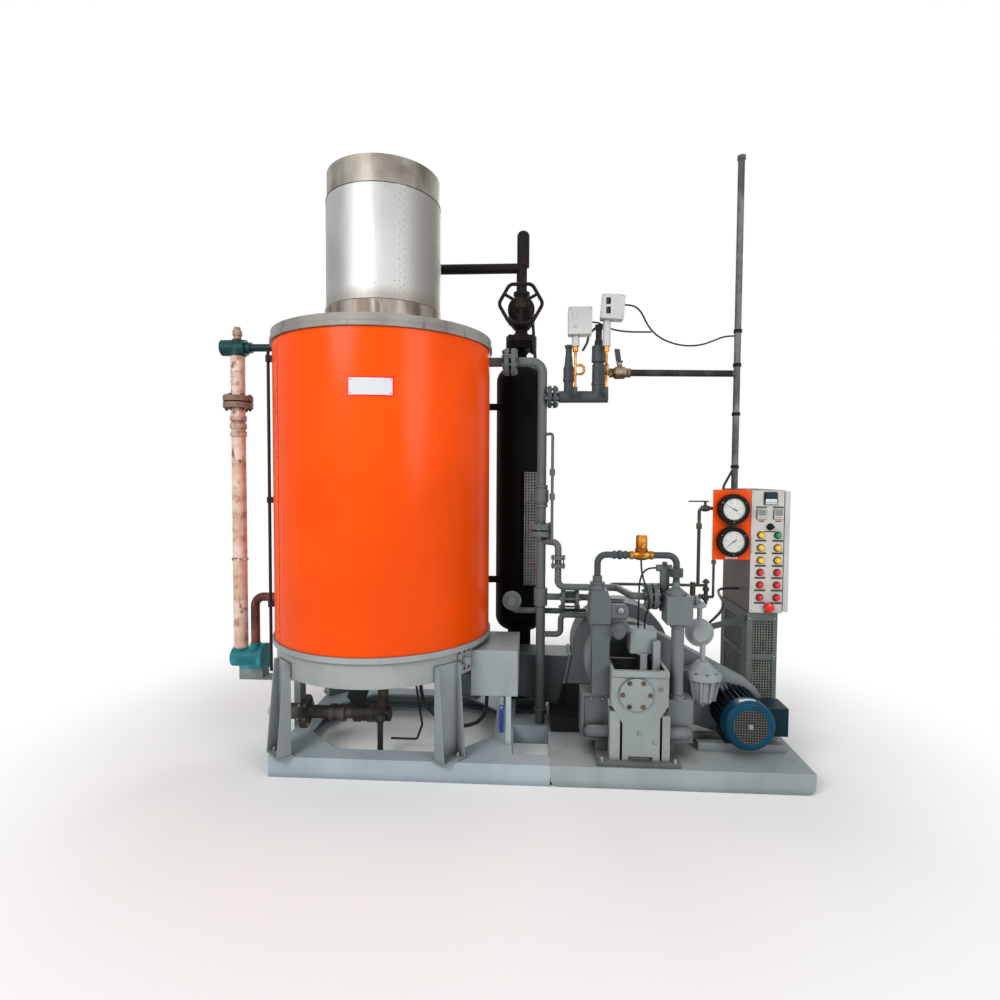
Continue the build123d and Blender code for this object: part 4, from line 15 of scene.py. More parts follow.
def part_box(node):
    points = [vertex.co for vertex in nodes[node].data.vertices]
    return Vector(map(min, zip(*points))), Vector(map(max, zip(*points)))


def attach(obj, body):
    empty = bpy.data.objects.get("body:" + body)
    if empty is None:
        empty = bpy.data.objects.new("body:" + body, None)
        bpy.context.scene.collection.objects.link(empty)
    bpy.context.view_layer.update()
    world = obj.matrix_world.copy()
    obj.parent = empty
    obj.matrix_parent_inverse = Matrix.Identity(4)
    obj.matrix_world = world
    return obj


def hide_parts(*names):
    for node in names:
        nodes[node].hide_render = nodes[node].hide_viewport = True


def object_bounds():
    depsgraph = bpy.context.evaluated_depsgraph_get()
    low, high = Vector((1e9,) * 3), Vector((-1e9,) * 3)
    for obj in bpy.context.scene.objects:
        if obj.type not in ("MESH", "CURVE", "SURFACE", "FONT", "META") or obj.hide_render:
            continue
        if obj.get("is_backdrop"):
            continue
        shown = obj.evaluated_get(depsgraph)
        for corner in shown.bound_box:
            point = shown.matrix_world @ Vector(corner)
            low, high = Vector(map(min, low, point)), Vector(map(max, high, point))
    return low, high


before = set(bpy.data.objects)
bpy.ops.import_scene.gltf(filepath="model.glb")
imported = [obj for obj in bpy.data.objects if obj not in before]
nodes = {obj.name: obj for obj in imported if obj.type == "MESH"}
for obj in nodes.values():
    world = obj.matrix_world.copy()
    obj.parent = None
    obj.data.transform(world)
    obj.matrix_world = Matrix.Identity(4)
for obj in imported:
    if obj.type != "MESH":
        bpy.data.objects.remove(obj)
cad_low, cad_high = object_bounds()
MM = 0.001
drum_low, drum_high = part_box("drum_shell")
DRUM_AXIS = Vector(((drum_low.x + drum_high.x) / 2, (drum_low.y + drum_high.y) / 2, 0))


def at(x, y, z):
    # Millimetres from the drum's axis and the floor, as on the works drawing
    return DRUM_AXIS + Vector((x, y, z)) * MM


def stand(name, data):
    # A new object in the scene, made from its mesh, curve, lamp or lens
    thing = bpy.data.objects.new(name, data)
    bpy.context.scene.collection.objects.link(thing)
    return thing


print("pieces from the model:", len(nodes))

# %% [markdown]
# The camera comes first. The plant was photographed with a wide lens at chest height, a little left of
# its middle. The lens and the tilt were found by matching known corners, so the same view lies over the
# photograph.

# %% Camera
EYE = at(708.8, -2757.1, 1286.5)
PITCH, YAW, ROLL = math.radians(-2.37), math.radians(-3.24), math.radians(0.32)
LENS = 20.963

forward = Vector((math.sin(YAW) * math.cos(PITCH), math.cos(YAW) * math.cos(PITCH), math.sin(PITCH)))
side = forward.cross(Vector((0, 0, 1))).normalized()
top = side.cross(forward)
right = side * math.cos(ROLL) + top * math.sin(ROLL)
up = top * math.cos(ROLL) - side * math.sin(ROLL)
lens = bpy.data.cameras.new("camera")
lens.lens = LENS
lens.sensor_width = 36
lens.clip_start = 0.05
lens.clip_end = 200
camera = stand("camera", lens)
turn = Matrix((right, up, -forward)).transposed().to_4x4()
camera.matrix_world = Matrix.Translation(EYE) @ turn
bpy.context.scene.camera = camera
print("camera at", [round(v, 3) for v in EYE])

# %% [markdown]
# Paint and metal are all built from nodes. Writing each sum as a chain of node calls hides the idea,
# so one small class wraps a socket and turns Python sums into Math nodes. A second class holds a material,
# with one method that adds any node: its settings first, then its sockets.

# %% Shader sums in plain Python


class Value:
    def __init__(self, finish, socket):
        self.finish = finish
        self.socket = socket

    def math(self, operation, first, second):
        return self.finish.node("ShaderNodeMath", {"operation": operation}, {0: first, 1: second})

    def __add__(self, other):
        return self.math("ADD", self, other)

    __radd__ = __add__

    def __sub__(self, other):
        return self.math("SUBTRACT", self, other)

    def __rsub__(self, other):
        return self.math("SUBTRACT", other, self)

    def __mul__(self, other):
        return self.math("MULTIPLY", self, other)

    __rmul__ = __mul__

    def __gt__(self, other):
        return self.math("GREATER_THAN", self, other)

    def __lt__(self, other):
        return self.math("LESS_THAN", self, other)

    def either(self, other):
        return self.math("MAXIMUM", self, other)

    def between(self, low, high):
        return (self > low) * (self < high)

    def back_and_forth(self, reach):
        return self.math("PINGPONG", self, reach)

    def band(self, low, high):
        # 0 below low, 1 above high, smooth between
        return self.finish.node("ShaderNodeMapRange", {"interpolation_type": "SMOOTHSTEP"},
                                {"Value": self, "From Min": low, "From Max": high})


class Finish:
    def __init__(self, name, **fixed):
        self.material = bpy.data.materials.new(name)
        self.material.use_nodes = True
        self.tree = self.material.node_tree
        self.shader = self.tree.nodes["Principled BSDF"]
        for key, value in fixed.items():
            self.shader.inputs[key.replace("_", " ").title().replace("Ior", "IOR")].default_value = value
        self.place = self.node("ShaderNodeTexCoord", out="Object")

    def node(self, kind, settings=None, inputs=None, out=0):
        made = self.tree.nodes.new(kind)
        for key, value in (settings or {}).items():
            if key == "stops":
                self.set_stops(made.color_ramp, value)
            else:
                setattr(made, key, value)
        for key, value in (inputs or {}).items():
            if isinstance(value, Value):
                self.tree.links.new(value.socket, made.inputs[key])
            else:
                made.inputs[key].default_value = value
        return Value(self, made.outputs[out])

    def set_stops(self, ramp, stops):
        ramp.elements[0].position = stops[0][0]
        ramp.elements[-1].position = stops[-1][0]
        for place, colour in stops[1:-1]:
            ramp.elements.new(place)
        for element, (place, colour) in zip(ramp.elements, stops):
            element.color = (*colour, 1)

    def noise(self, scale, detail=3, stretch=(1, 1, 1)):
        spot = self.node("ShaderNodeVectorMath", {"operation": "MULTIPLY"}, {0: self.place, 1: stretch})
        return self.node("ShaderNodeTexNoise", None, {"Vector": spot, "Scale": scale, "Detail": detail})

    def axis(self, name):
        return self.node("ShaderNodeSeparateXYZ", None, {0: self.place}, name)

    def facing_up(self):
        facing = self.node("ShaderNodeNewGeometry", out="Normal")
        return self.node("ShaderNodeSeparateXYZ", None, {0: facing}, "Z").band(0.7, 0.98)

    def painted_corner_shade(self, reach):
        # 1 deep in corners and in gaps between parts, where shade falls; the finishes paint it dark as shade
        open_share = self.node("ShaderNodeAmbientOcclusion", {"samples": 8}, {"Distance": reach}, "AO")
        return 1 - open_share.band(0.25, 0.85)

    def edges(self, reach):
        # The rounded normal near sharp edges, and how far it turns from the true one
        rounded = self.node("ShaderNodeBevel", {"samples": 4}, {"Radius": reach})
        facing = self.node("ShaderNodeNewGeometry", out="Normal")
        match = self.node("ShaderNodeVectorMath", {"operation": "DOT_PRODUCT"},
                          {0: rounded, 1: facing}, "Value")
        return rounded, (1 - match).band(0.02, 0.2)

    def mix(self, share, first, second):
        ends = [end if isinstance(end, Value) else (*end, 1) for end in (first, second)]
        return self.node("ShaderNodeMix", {"data_type": "RGBA"}, {0: share, 6: ends[0], 7: ends[1]}, 2)

    def cloudy(self, noise, dark, light):
        # Two tones of one finish, in soft patches
        return self.mix(noise.band(0.35, 0.7), dark, light)

    def ramp(self, share, stops):
        return self.node("ShaderNodeValToRGB", {"stops": stops}, {0: share})

    def feed(self, **links):
        for key, value in links.items():
            self.tree.links.new(value.socket, self.shader.inputs[key.replace("_", " ")])

    def done(self, tone, rough, relief, strength, depth, rounded=None, **more):
        # The relief lies on the rounded normal, where a finish has one
        inputs = {"Height": relief, "Strength": strength, "Distance": depth}
        if rounded:
            inputs["Normal"] = rounded
        self.feed(Base_Color=tone, Roughness=rough, Normal=self.node("ShaderNodeBump", None, inputs), **more)
        return self.material


def srgb(red, green, blue):
    # Screen colour from 0 to 255, as linear light
    return tuple(((c / 255 + 0.055) / 1.055) ** 2.4 if c > 10 else c / 255 / 12.92
                 for c in (red, green, blue))


def toned(colour, times, plus=0.0):
    # The same hue, darker or paler
    return tuple(c * times + plus for c in colour)


print("shader helpers ready")

# %% [markdown]
# The studio is a pale floor that fades to white far away, one broad soft lamp from the front left,
# a weaker one from the right, faint ones above and behind, and a dim even sky. Straight rays, mirror rays
# and rays through glass see the sky as white paper; the light that it sheds on the plant stays low.

# %% Lamps
LAMPS = (("key", (-2.4, -4.0, 3.4), 2.4, 140, (-0.2, 0, 1.1)),
         ("fill", (3.0, -3.6, 2.4), 2.4, 84, (0.3, 0, 0.9)),
         ("top", (0.2, 0.2, 5.4), 3.5, 20, (0.2, 0, 0)),
         ("back", (0.6, 4.2, 3.2), 2.6, 70, (0, 0, 1)))

for name, place, size, power, target in LAMPS:
    lamp = bpy.data.lights.new(name, "AREA")
    lamp.shape = "DISK"
    lamp.size = size
    lamp.energy = power
    holder = stand(name, lamp)
    holder.location = place
    aim = Vector(target) - Vector(place)
    holder.rotation_mode = "QUATERNION"
    holder.rotation_quaternion = aim.to_track_quat("-Z", "Y")
print("lamps:", len(LAMPS))

# %% Sky
SKY_LIGHT, SKY_SEEN = 0.34, 1.0


def paper_white(tree):
    # 1 for rays that see the background, 0 for the light that falls on the plant
    rays = tree.nodes.new("ShaderNodeLightPath")
    seen = rays.outputs["Is Camera Ray"]
    for name in ("Is Glossy Ray", "Is Transmission Ray"):
        either = tree.nodes.new("ShaderNodeMath")
        either.operation = "MAXIMUM"
        tree.links.new(seen, either.inputs[0])
        tree.links.new(rays.outputs[name], either.inputs[1])
        seen = either.outputs[0]
    return seen


world = bpy.data.worlds.new("studio")
bpy.context.scene.world = world
world.use_nodes = True
tree = world.node_tree
tree.nodes.clear()
blend = tree.nodes.new("ShaderNodeMixShader")
out = tree.nodes.new("ShaderNodeOutputWorld")
tree.links.new(paper_white(tree), blend.inputs[0])
for place, strength in ((1, SKY_LIGHT), (2, SKY_SEEN)):
    sky = tree.nodes.new("ShaderNodeBackground")
    sky.inputs["Color"].default_value = (1, 1, 1, 1)
    sky.inputs["Strength"].default_value = strength
    tree.links.new(sky.outputs[0], blend.inputs[place])
tree.links.new(blend.outputs[0], out.inputs[0])

print("sky light:", SKY_LIGHT)

# %% Floor
FLOOR_SIZE = 60
FLOOR_FADE = (1.35, 2.5)
mesh = bpy.data.meshes.new("floor")
half = FLOOR_SIZE / 2
corners = [(-half, -half, 0), (half, -half, 0), (half, half, 0), (-half, half, 0)]
mesh.from_pydata(corners, [], [(0, 1, 2, 3)])
floor = stand("floor", mesh)
pale = Finish("floor_pale", base_color=(0.92, 0.92, 0.92, 1), roughness=0.9, specular_ior_level=0.1)
reach = pale.node("ShaderNodeVectorMath", {"operation": "LENGTH"}, {0: pale.place}, "Value")
far = reach.band(*FLOOR_FADE) * Value(pale, paper_white(pale.tree))
glow = pale.node("ShaderNodeEmission", None, {"Color": (1, 1, 1, 1), "Strength": 1.0})
body = Value(pale, pale.shader.outputs[0])
both = pale.node("ShaderNodeMixShader", None, {0: far, 1: body, 2: glow})
pale.tree.links.new(both.socket, pale.tree.nodes["Material Output"].inputs[0])
mesh.materials.append(pale.material)
floor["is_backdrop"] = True
bpy.context.scene.view_settings.view_transform = "Standard"
print("floor:", FLOOR_SIZE, "m wide")

# %% [markdown]
# Paint on plant is never one colour: it is brushed on, runs a little, rubs thin along edges, collects
# dust where it faces up, grime near the floor and soot round the pump. The same finishes also paint light
# and
# shade into the colour: edges are paler as worn paint and a painted highlight, corners and gaps between
# parts are painted dark as shade, and painted shade joins the soot round the pump. They share one recipe: a
# slow noise for tone, a fine one for bump, and a rounded normal that softens sharp edges and says where they
# are.

# %% Painted finishes
DUST = srgb(176, 174, 166)
EDGE, FINE_EDGE, CORNER_SHADE_REACH = 0.0035, 0.002, 0.07
SOOT_AND_SHADE_SHARE, SOOT_AND_SHADE_TONE = 0.9, 0.05
BEHIND_PUMP = ((1000, -160, 130), (1310, 40, 560))
ROUND_PUMP = ((960, -290, -300), (1400, 20, 400))
BESIDE_WELL = ((1100, -420, 300), (1220, -60, 580))


def soot_and_shade_share(paint, low_corner, high_corner, soft=0.05):
    # 1 well inside a box in the drawing's millimetres, 0 outside it, with a soft edge; the box marks where
    # soot and painted shade darken the paint
    share = 1
    for letter, low, high in zip("XYZ", at(*low_corner), at(*high_corner)):
        place = paint.axis(letter)
        share = place.band(low - soft, low + soft) * (1 - place.band(high - soft, high + soft)) * share
    return share


def enamel(name, colour, rough=0.45, grime=0.3, dirt=(0.03, 0.028, 0.026), cast=0.0, coat=0.0, patch=3.0,
           wear_and_highlight=0.5, gloss=0.25, dust=0.25, soot_and_shade_box=None, soot_and_shade_strength=SOOT_AND_SHADE_SHARE):
    paint = Finish(name, specular_ior_level=gloss, coat_weight=coat, coat_roughness=0.18)
    slow = paint.noise(patch, 4)
    fine = paint.noise(60, 3)
    runs = paint.noise(9, 3, (1, 1, 0.12))
    low = 1 - paint.axis("Z").band(0.05, 0.5)
    rounded, edge_wear_and_highlight = paint.edges(EDGE)
    tone = paint.mix(slow.band(0.35, 0.68), toned(colour, 0.8), colour)
    stain = (runs.band(0.52, 0.72) * 0.5 + low * slow * 0.9) * grime
    tone = paint.mix(stain, tone, dirt)
    # Painted shade: corners and gaps between parts are painted nearly black
    tone = paint.mix(paint.painted_corner_shade(CORNER_SHADE_REACH) * 0.75, tone, toned(colour, 0.15))
    # Worn paint and a painted highlight: sharp edges are painted paler
    tone = paint.mix(edge_wear_and_highlight * fine.band(0.3, 0.6) * wear_and_highlight, tone, toned(colour, 0.7, 0.22))
    specks = fine.band(0.70, 0.74) * slow.band(0.5, 0.62)
    tone = paint.mix(specks * min(grime * 2, 0.8), tone, dirt)
    tone = paint.mix(paint.facing_up() * slow.band(0.35, 0.7) * dust, tone, DUST)
    # Soot and painted shade: the paint is darkened inside a box round the pump
    if soot_and_shade_box:
        tone = paint.mix(soot_and_shade_share(paint, *soot_and_shade_box) * soot_and_shade_strength, tone, toned(colour, SOOT_AND_SHADE_TONE))
    grain = paint.noise(220 if cast else 500, 2)
    return paint.done(tone, rough + slow * 0.14 + stain * 0.3,
                      grain + slow * 0.6, 0.10 + cast, 0.0012, rounded)


skid_paint = enamel("skid_paint", srgb(176, 192, 199), grime=0.2)
platform_paint = enamel("platform_paint", srgb(160, 171, 173), grime=0.22, dust=0.2, soot_and_shade_box=ROUND_PUMP,
                        soot_and_shade_strength=0.55)
pan_paint = enamel("pan_paint", srgb(156, 164, 163))
leg_paint = enamel("leg_paint", srgb(148, 158, 159))
base_paint = enamel("base_paint", srgb(96, 104, 106), grime=0.5)
# Painted shade: the windbox under the pan is painted near black, as the shade there
windbox_shade_paint = enamel("windbox_shade_paint", srgb(34, 36, 36), grime=0.3, dust=0.1)
cover_paint = enamel("cover_paint", srgb(158, 170, 172))
guard_paint = enamel("guard_paint", srgb(138, 147, 149), soot_and_shade_box=BEHIND_PUMP)
chamber_paint = enamel("chamber_paint", srgb(158, 167, 169), cast=0.1)
left_pump_paint = enamel("left_pump_paint", srgb(94, 103, 105), cast=0.14, grime=0.4,
                         soot_and_shade_box=BESIDE_WELL)
right_pump_paint = enamel("right_pump_paint", srgb(114, 123, 125), cast=0.14, grime=0.4)
pipe_paint = enamel("pipe_paint", srgb(96, 104, 105), grime=0.4, cast=0.08)
header_paint = enamel("header_paint", srgb(66, 75, 77), grime=0.4, cast=0.08)
duct_paint = enamel("duct_paint", srgb(70, 79, 82), grime=0.4)
orange_enamel = enamel("orange_enamel", srgb(255, 82, 0), 0.36, 0.04, (0.25, 0.02, 0.0), patch=1.3,
                       wear_and_highlight=0.0, gloss=0.05, dust=0.0, coat=0.16)
black_enamel = enamel("black_enamel", (0.004, 0.004, 0.0045), 0.55, 0.2, (0.008, 0.008, 0.008),
                      wear_and_highlight=0.1, gloss=0.06, dust=0.05)
cabinet_enamel = enamel("cabinet_enamel", srgb(192, 190, 185), 0.45, 0.05, wear_and_highlight=0.1)
# Painted shade: the cabinet's body is a darker copy of the door's grey, for its side in shade
cabinet_shaded_side = enamel("cabinet_shaded_side", srgb(90, 80, 76), 0.45, 0.12, wear_and_highlight=0.1, gloss=0.15)
case_plastic = enamel("case_plastic", srgb(194, 196, 194), 0.45, 0.08, wear_and_highlight=0.1)
print("painted finishes ready")

# %% [markdown]
# Some nodes carry more than one finish: the drum's lid ends in a brown stained collar, the level column's
# foot has a grey shoe, a green body and a rusty return pipe, the crankcase's well is painted near black as
# shade with oil in it, the pedestal's inside and left side are painted dark as shade, the motor's cowl is
# clean blue while its finned body is painted dark as shade and its intake black as shade, and its wire guard
# is bare. A point's place says which one it takes.

# %% Finishes that change with the place
MOTOR_X, MOTOR_Z, MOUTH_R = 1632, 235, 0.0722
BODY_Y, MOUTH_Y, WIRE_Y = -229.6, -256, -286.5
TERMINAL_X, CAP_X, POLE_X = 1736, -470, 1680
CLAMP_ZS, CLAMP_H = (1.330, 1.590, 1.830, 1.995), 0.016
COLLAR_ZS, SHOE_ZS, RETURN_ZS, PLUG_ZS = (1.955, 1.962), (0.340, 0.344), (0.462, 0.466), (1.932, 1.936)


def casting_with_shade_inside(name, colour, inside, shaded_x=None, soot_and_shade_box=None):
    # inside gives the lowest and highest corner of the part painted near black, in the drawing's
    # millimetres:
    # painted shade inside the crank well and the pedestal, round the actuator's post and on the blower's
    # stand, with oil in the crank well; what lies left of shaded_x is painted darker as shade
    paint = Finish(name, specular_ior_level=0.25)
    slow = paint.noise(3, 4)
    fine = paint.noise(60, 3)
    rounded, edge_wear_and_highlight = paint.edges(EDGE)
    shade_and_oil = 1
    for letter, low, high in zip("XYZ", at(*inside[0]), at(*inside[1])):
        shade_and_oil = paint.axis(letter).between(low, high) * shade_and_oil
    tone = paint.mix(slow.band(0.35, 0.68), toned(colour, 0.8), colour)
    # Painted shade: corners and gaps between parts are painted nearly black
    tone = paint.mix(paint.painted_corner_shade(CORNER_SHADE_REACH) * 0.8, tone, toned(colour, 0.15))
    # Worn paint and a painted highlight: sharp edges are painted paler
    tone = paint.mix(edge_wear_and_highlight * fine.band(0.3, 0.6) * 0.6, tone, toned(colour, 0.7, 0.22))
    tone = paint.mix(fine.band(0.66, 0.72) * slow.band(0.5, 0.62) * 0.3, tone, srgb(82, 76, 70))
    # Painted shade: the side left of shaded_x is painted darker
    if shaded_x:
        tone = paint.mix((paint.axis("X") < at(shaded_x, 0, 0).x) * 0.7, tone, toned(colour, 0.25))
    # Painted shade, with oil in the crank well: the part inside the box is painted near black
    tone = paint.mix(shade_and_oil, tone, (0.006, 0.006, 0.006))
    # Soot and painted shade round the pump
    if soot_and_shade_box:
        tone = paint.mix(soot_and_shade_share(paint, *soot_and_shade_box) * SOOT_AND_SHADE_SHARE, tone, toned(colour, SOOT_AND_SHADE_TONE))
    return paint.done(tone, 0.46 + slow * 0.14 + shade_and_oil * 0.15,
                      paint.noise(220, 2) + slow * 0.6, 0.16, 0.0012, rounded)


def motor_finish():
    paint = Finish("motor_enamel", specular_ior_level=0.16)
    slow = paint.noise(6, 4)
    rounded, edge_wear_and_highlight = paint.edges(FINE_EDGE)
    middle = at(MOTOR_X, 0, MOTOR_Z)
    across, up = paint.axis("X") - middle.x, paint.axis("Z") - middle.z
    depth = paint.axis("Y")
    mouth = (across * across + up * up < MOUTH_R ** 2) * (depth < at(0, MOUTH_Y, 0).y)
    wire = mouth * (depth < at(0, WIRE_Y, 0).y)
    body = depth > at(0, BODY_Y, 0).y
    tone = paint.cloudy(slow, srgb(0, 48, 68), srgb(0, 66, 90))
    box = paint.axis("X") > at(TERMINAL_X, 0, 0).x
    # Painted shade: the finned body behind the cowl is painted dark blue as shade; the terminal box takes
    # the same dark blue
    tone = paint.mix(body.either(box), tone, srgb(0, 30, 42))
    # Painted shade: corners and gaps between parts are painted nearly black
    tone = paint.mix(paint.painted_corner_shade(0.04) * 0.85, tone, (0.001, 0.004, 0.006))
    # Worn paint and a painted highlight: sharp edges are painted paler
    tone = paint.mix(edge_wear_and_highlight * slow * 0.7, tone, srgb(60, 120, 140))
    # Painted shade: the intake inside the wire guard is painted black as shade
    tone = paint.mix(mouth, tone, (0.004, 0.005, 0.006))
    tone = paint.mix(wire, tone, (0.13, 0.125, 0.12))
    return paint.done(tone, 0.34 + slow * 0.18,
                      paint.noise(420, 2) + slow, 0.1, 0.001, rounded, Metallic=wire * 0.7)


def fuel_line_finish():
    # Dark oily fittings, with a pale cap on the far end of the line
    line = Finish("fuel_paint", specular_ior_level=0.25)
    cloud = line.noise(14, 5)
    rounded, edge_wear_and_highlight = line.edges(FINE_EDGE)
    cap = line.axis("X") < at(CAP_X, 0, 0).x
    tone = line.cloudy(cloud, srgb(44, 40, 36), srgb(88, 82, 74))
    # Painted shade: corners and gaps between parts are painted nearly black
    tone = line.mix(line.painted_corner_shade(0.03) * 0.8, tone, (0.006, 0.005, 0.004))
    tone = line.mix(edge_wear_and_highlight * cloud, tone, srgb(128, 122, 114))
    tone = line.mix(cap, tone, srgb(168, 176, 178))
    return line.done(tone, 0.42 + cloud * 0.25, line.noise(200, 3) + cloud, 0.2, 0.0012, rounded)


def pole_finish():
    # The upright is worn galvanised pipe with black clamps, the cross pipe nearly black
    pole = Finish("pole_iron", metallic=0.35, specular_ior_level=0.2)
    cloud = pole.noise(16, 5, (1, 1, 0.5))
    upright = pole.axis("X") > at(POLE_X, 0, 0).x
    light = pole.cloudy(cloud, srgb(72, 76, 74), srgb(116, 122, 118))
    dark = pole.mix(cloud.band(0.4, 0.7), (0.018, 0.016, 0.015), (0.05, 0.046, 0.042))
    tone = pole.mix(upright, dark, light)
    height = pole.axis("Z")
    for z in CLAMP_ZS:
        tone = pole.mix(height.between(z, z + CLAMP_H) * upright, tone, (0.006, 0.006, 0.006))
    return pole.done(tone, 0.45 + cloud * 0.25, pole.noise(180, 3) + cloud * 0.5, 0.2, 0.0012)


def lid_finish():
    lid = Finish("lid_paint", specular_ior_level=0.3)
    slow = lid.noise(5, 4)
    runs = lid.noise(16, 4, (1, 1, 0.15))
    rounded, edge_wear_and_highlight = lid.edges(0.003)
    collar = lid.axis("Z").band(*COLLAR_ZS)
    band = lid.cloudy(slow, srgb(120, 118, 112), srgb(150, 148, 141))
    stained = lid.mix(runs.band(0.35, 0.65), srgb(92, 82, 72), srgb(150, 143, 134))
    tone = lid.mix(collar, band, stained)
    tone = lid.mix(runs.band(0.62, 0.7) * 0.6, tone, srgb(70, 58, 46))
    # Painted shade: corners and gaps between parts are painted dark
    tone = lid.mix(lid.painted_corner_shade(0.03) * 0.8, tone, srgb(52, 48, 44))
    tone = lid.mix(edge_wear_and_highlight * 0.5, tone, srgb(186, 184, 178))
    return lid.done(tone, 0.36 + slow * 0.2, runs + slow, 0.16, 0.002, rounded, Metallic=collar * 0.7)


def column_foot_finish():
    foot = Finish("column_foot", specular_ior_level=0.3)
    slow = foot.noise(12, 4)
    grain = foot.noise(200, 3)
    rounded, edge_wear_and_highlight = foot.edges(FINE_EDGE)
    height = foot.axis("Z")
    green = foot.cloudy(slow, srgb(14, 104, 112), srgb(50, 150, 162))
    rusty = foot.cloudy(slow, srgb(74, 40, 34), srgb(128, 78, 68))
    shoe = foot.cloudy(slow, srgb(98, 104, 104), srgb(140, 147, 147))
    tone = foot.mix(height.band(*RETURN_ZS), green, rusty)
    tone = foot.mix(height.band(*SHOE_ZS), shoe, tone)
    tone = foot.mix(edge_wear_and_highlight * slow * 0.8, tone, srgb(120, 104, 92))
    return foot.done(tone, 0.42 + slow * 0.25, grain + slow, 0.22, 0.0012, rounded)


def column_head_finish():
    # Green casting under a bare brown plug
    head = Finish("column_head", specular_ior_level=0.2)
    slow = head.noise(12, 4)
    rounded, edge_wear_and_highlight = head.edges(FINE_EDGE)
    green = head.cloudy(slow, srgb(0, 36, 38), srgb(0, 62, 64))
    plug = head.cloudy(slow, srgb(104, 80, 62), srgb(176, 150, 126))
    tone = head.mix(head.axis("Z").band(*PLUG_ZS), green, plug)
    # Painted shade: corners and gaps between parts are painted nearly black
    tone = head.mix(head.painted_corner_shade(0.03) * 0.7, tone, (0.002, 0.006, 0.006))
    tone = head.mix(edge_wear_and_highlight * slow * 0.7, tone, srgb(96, 128, 124))
    return head.done(tone, 0.36 + slow * 0.2, head.noise(200, 3) + slow, 0.24, 0.0012, rounded)


lid_paint = lid_finish()
column_foot = column_foot_finish()
column_head = column_head_finish()
crank_paint = casting_with_shade_inside("crank_paint", srgb(142, 151, 151), ((1053, -339, 396), (1263, -183, 483)))
actuator_paint = casting_with_shade_inside("actuator_paint", srgb(140, 149, 150), ((1120, -240, 390), (1227, -140, 516)))
# The pedestal's inside is painted near black and its left side darker, both as painted shade
mesh_enamel = casting_with_shade_inside("mesh_enamel", srgb(90, 99, 95), ((1721.5, 27.5, 80), (1860.5, 394.5, 652)),
                           1721.3)
scroll_paint = casting_with_shade_inside("scroll_paint", srgb(106, 115, 117), ((790, -70, 80), (1060, 300, 262)),
                            soot_and_shade_box=BEHIND_PUMP)
motor_enamel = motor_finish()
fuel_paint = fuel_line_finish()
pole_iron = pole_finish()
print("two-tone finishes ready")

# %% [markdown]
# Bare metals get their look from roughness more than from colour. Rolled stainless sheet has fine marks
# along the rolling and soft dents; the stack above it is stained by heat; iron fittings are nearly black
# with brown rust; brass is warm and dull.

# %% Metal finishes
TUBE_FLANGE_ZS, TUBE_RIB_ZS = (1.605, 1.665), (1.466, 1.572)


def stainless_sheet():
    sheet = Finish("stainless_sheet", metallic=1.0)
    marks = sheet.noise(60, 4, (1, 1, 0.04))
    cloud = sheet.noise(3.5, 4, (1, 1, 0.35))
    specks = sheet.noise(46, 3)
    tone = sheet.mix(cloud.band(0.3, 0.7), (0.30, 0.30, 0.295), (0.47, 0.475, 0.47))
    tone = sheet.mix(specks.band(0.68, 0.74) * 0.5, tone, (0.16, 0.13, 0.10))
    # Painted reflection: the jacket's right side is painted darker and browner, as the dark surroundings
    # reflect there
    side = (sheet.axis("X") - DRUM_AXIS.x).band(0.06, 0.26)
    tone = sheet.mix(side * (0.5 + cloud * 0.5), tone, (0.21, 0.195, 0.165))
    low = 1 - sheet.axis("Z").band(2.05, 2.12)
    tone = sheet.mix(low * 0.6 * cloud.band(0.25, 0.6), tone, (0.20, 0.16, 0.12))
    return sheet.done(tone, 0.40 + marks * 0.16 + cloud * 0.12, marks * 0.4 + cloud, 0.14, 0.004)


def heat_stained_sheet():
    sheet = Finish("heat_stained_sheet", metallic=1.0)
    cloud = sheet.noise(7, 5)
    runs = sheet.noise(14, 4, (1, 1, 0.1))
    tone = sheet.ramp(cloud * 0.6 + runs * 0.4, ((0.3, (0.12, 0.10, 0.08)), (0.5, (0.26, 0.24, 0.21)),
                                                (0.7, (0.40, 0.38, 0.35))))
    return sheet.done(tone, 0.32 + runs * 0.25, cloud + runs * 0.5, 0.15, 0.003)


def dark_iron(name, colour, rust, share, metal=0.5, rough=0.48):
    iron = Finish(name, metallic=metal, specular_ior_level=0.2)
    cloud = iron.noise(16, 5)
    grain = iron.noise(180, 3)
    tone = iron.mix(cloud.band(0.62 - share * 0.3, 0.75), colour, rust)
    return iron.done(tone, rough + cloud * 0.25, grain + cloud * 0.5, 0.22, 0.0012)


def yellow_metal(name, colour, dark, rough=0.3):
    metal = Finish(name, metallic=1.0)
    cloud = metal.noise(30, 4)
    tone = metal.mix(cloud.band(0.35, 0.65), dark, colour)
    return metal.done(tone, rough + cloud * 0.2, metal.noise(260, 2), 0.1, 0.0008)


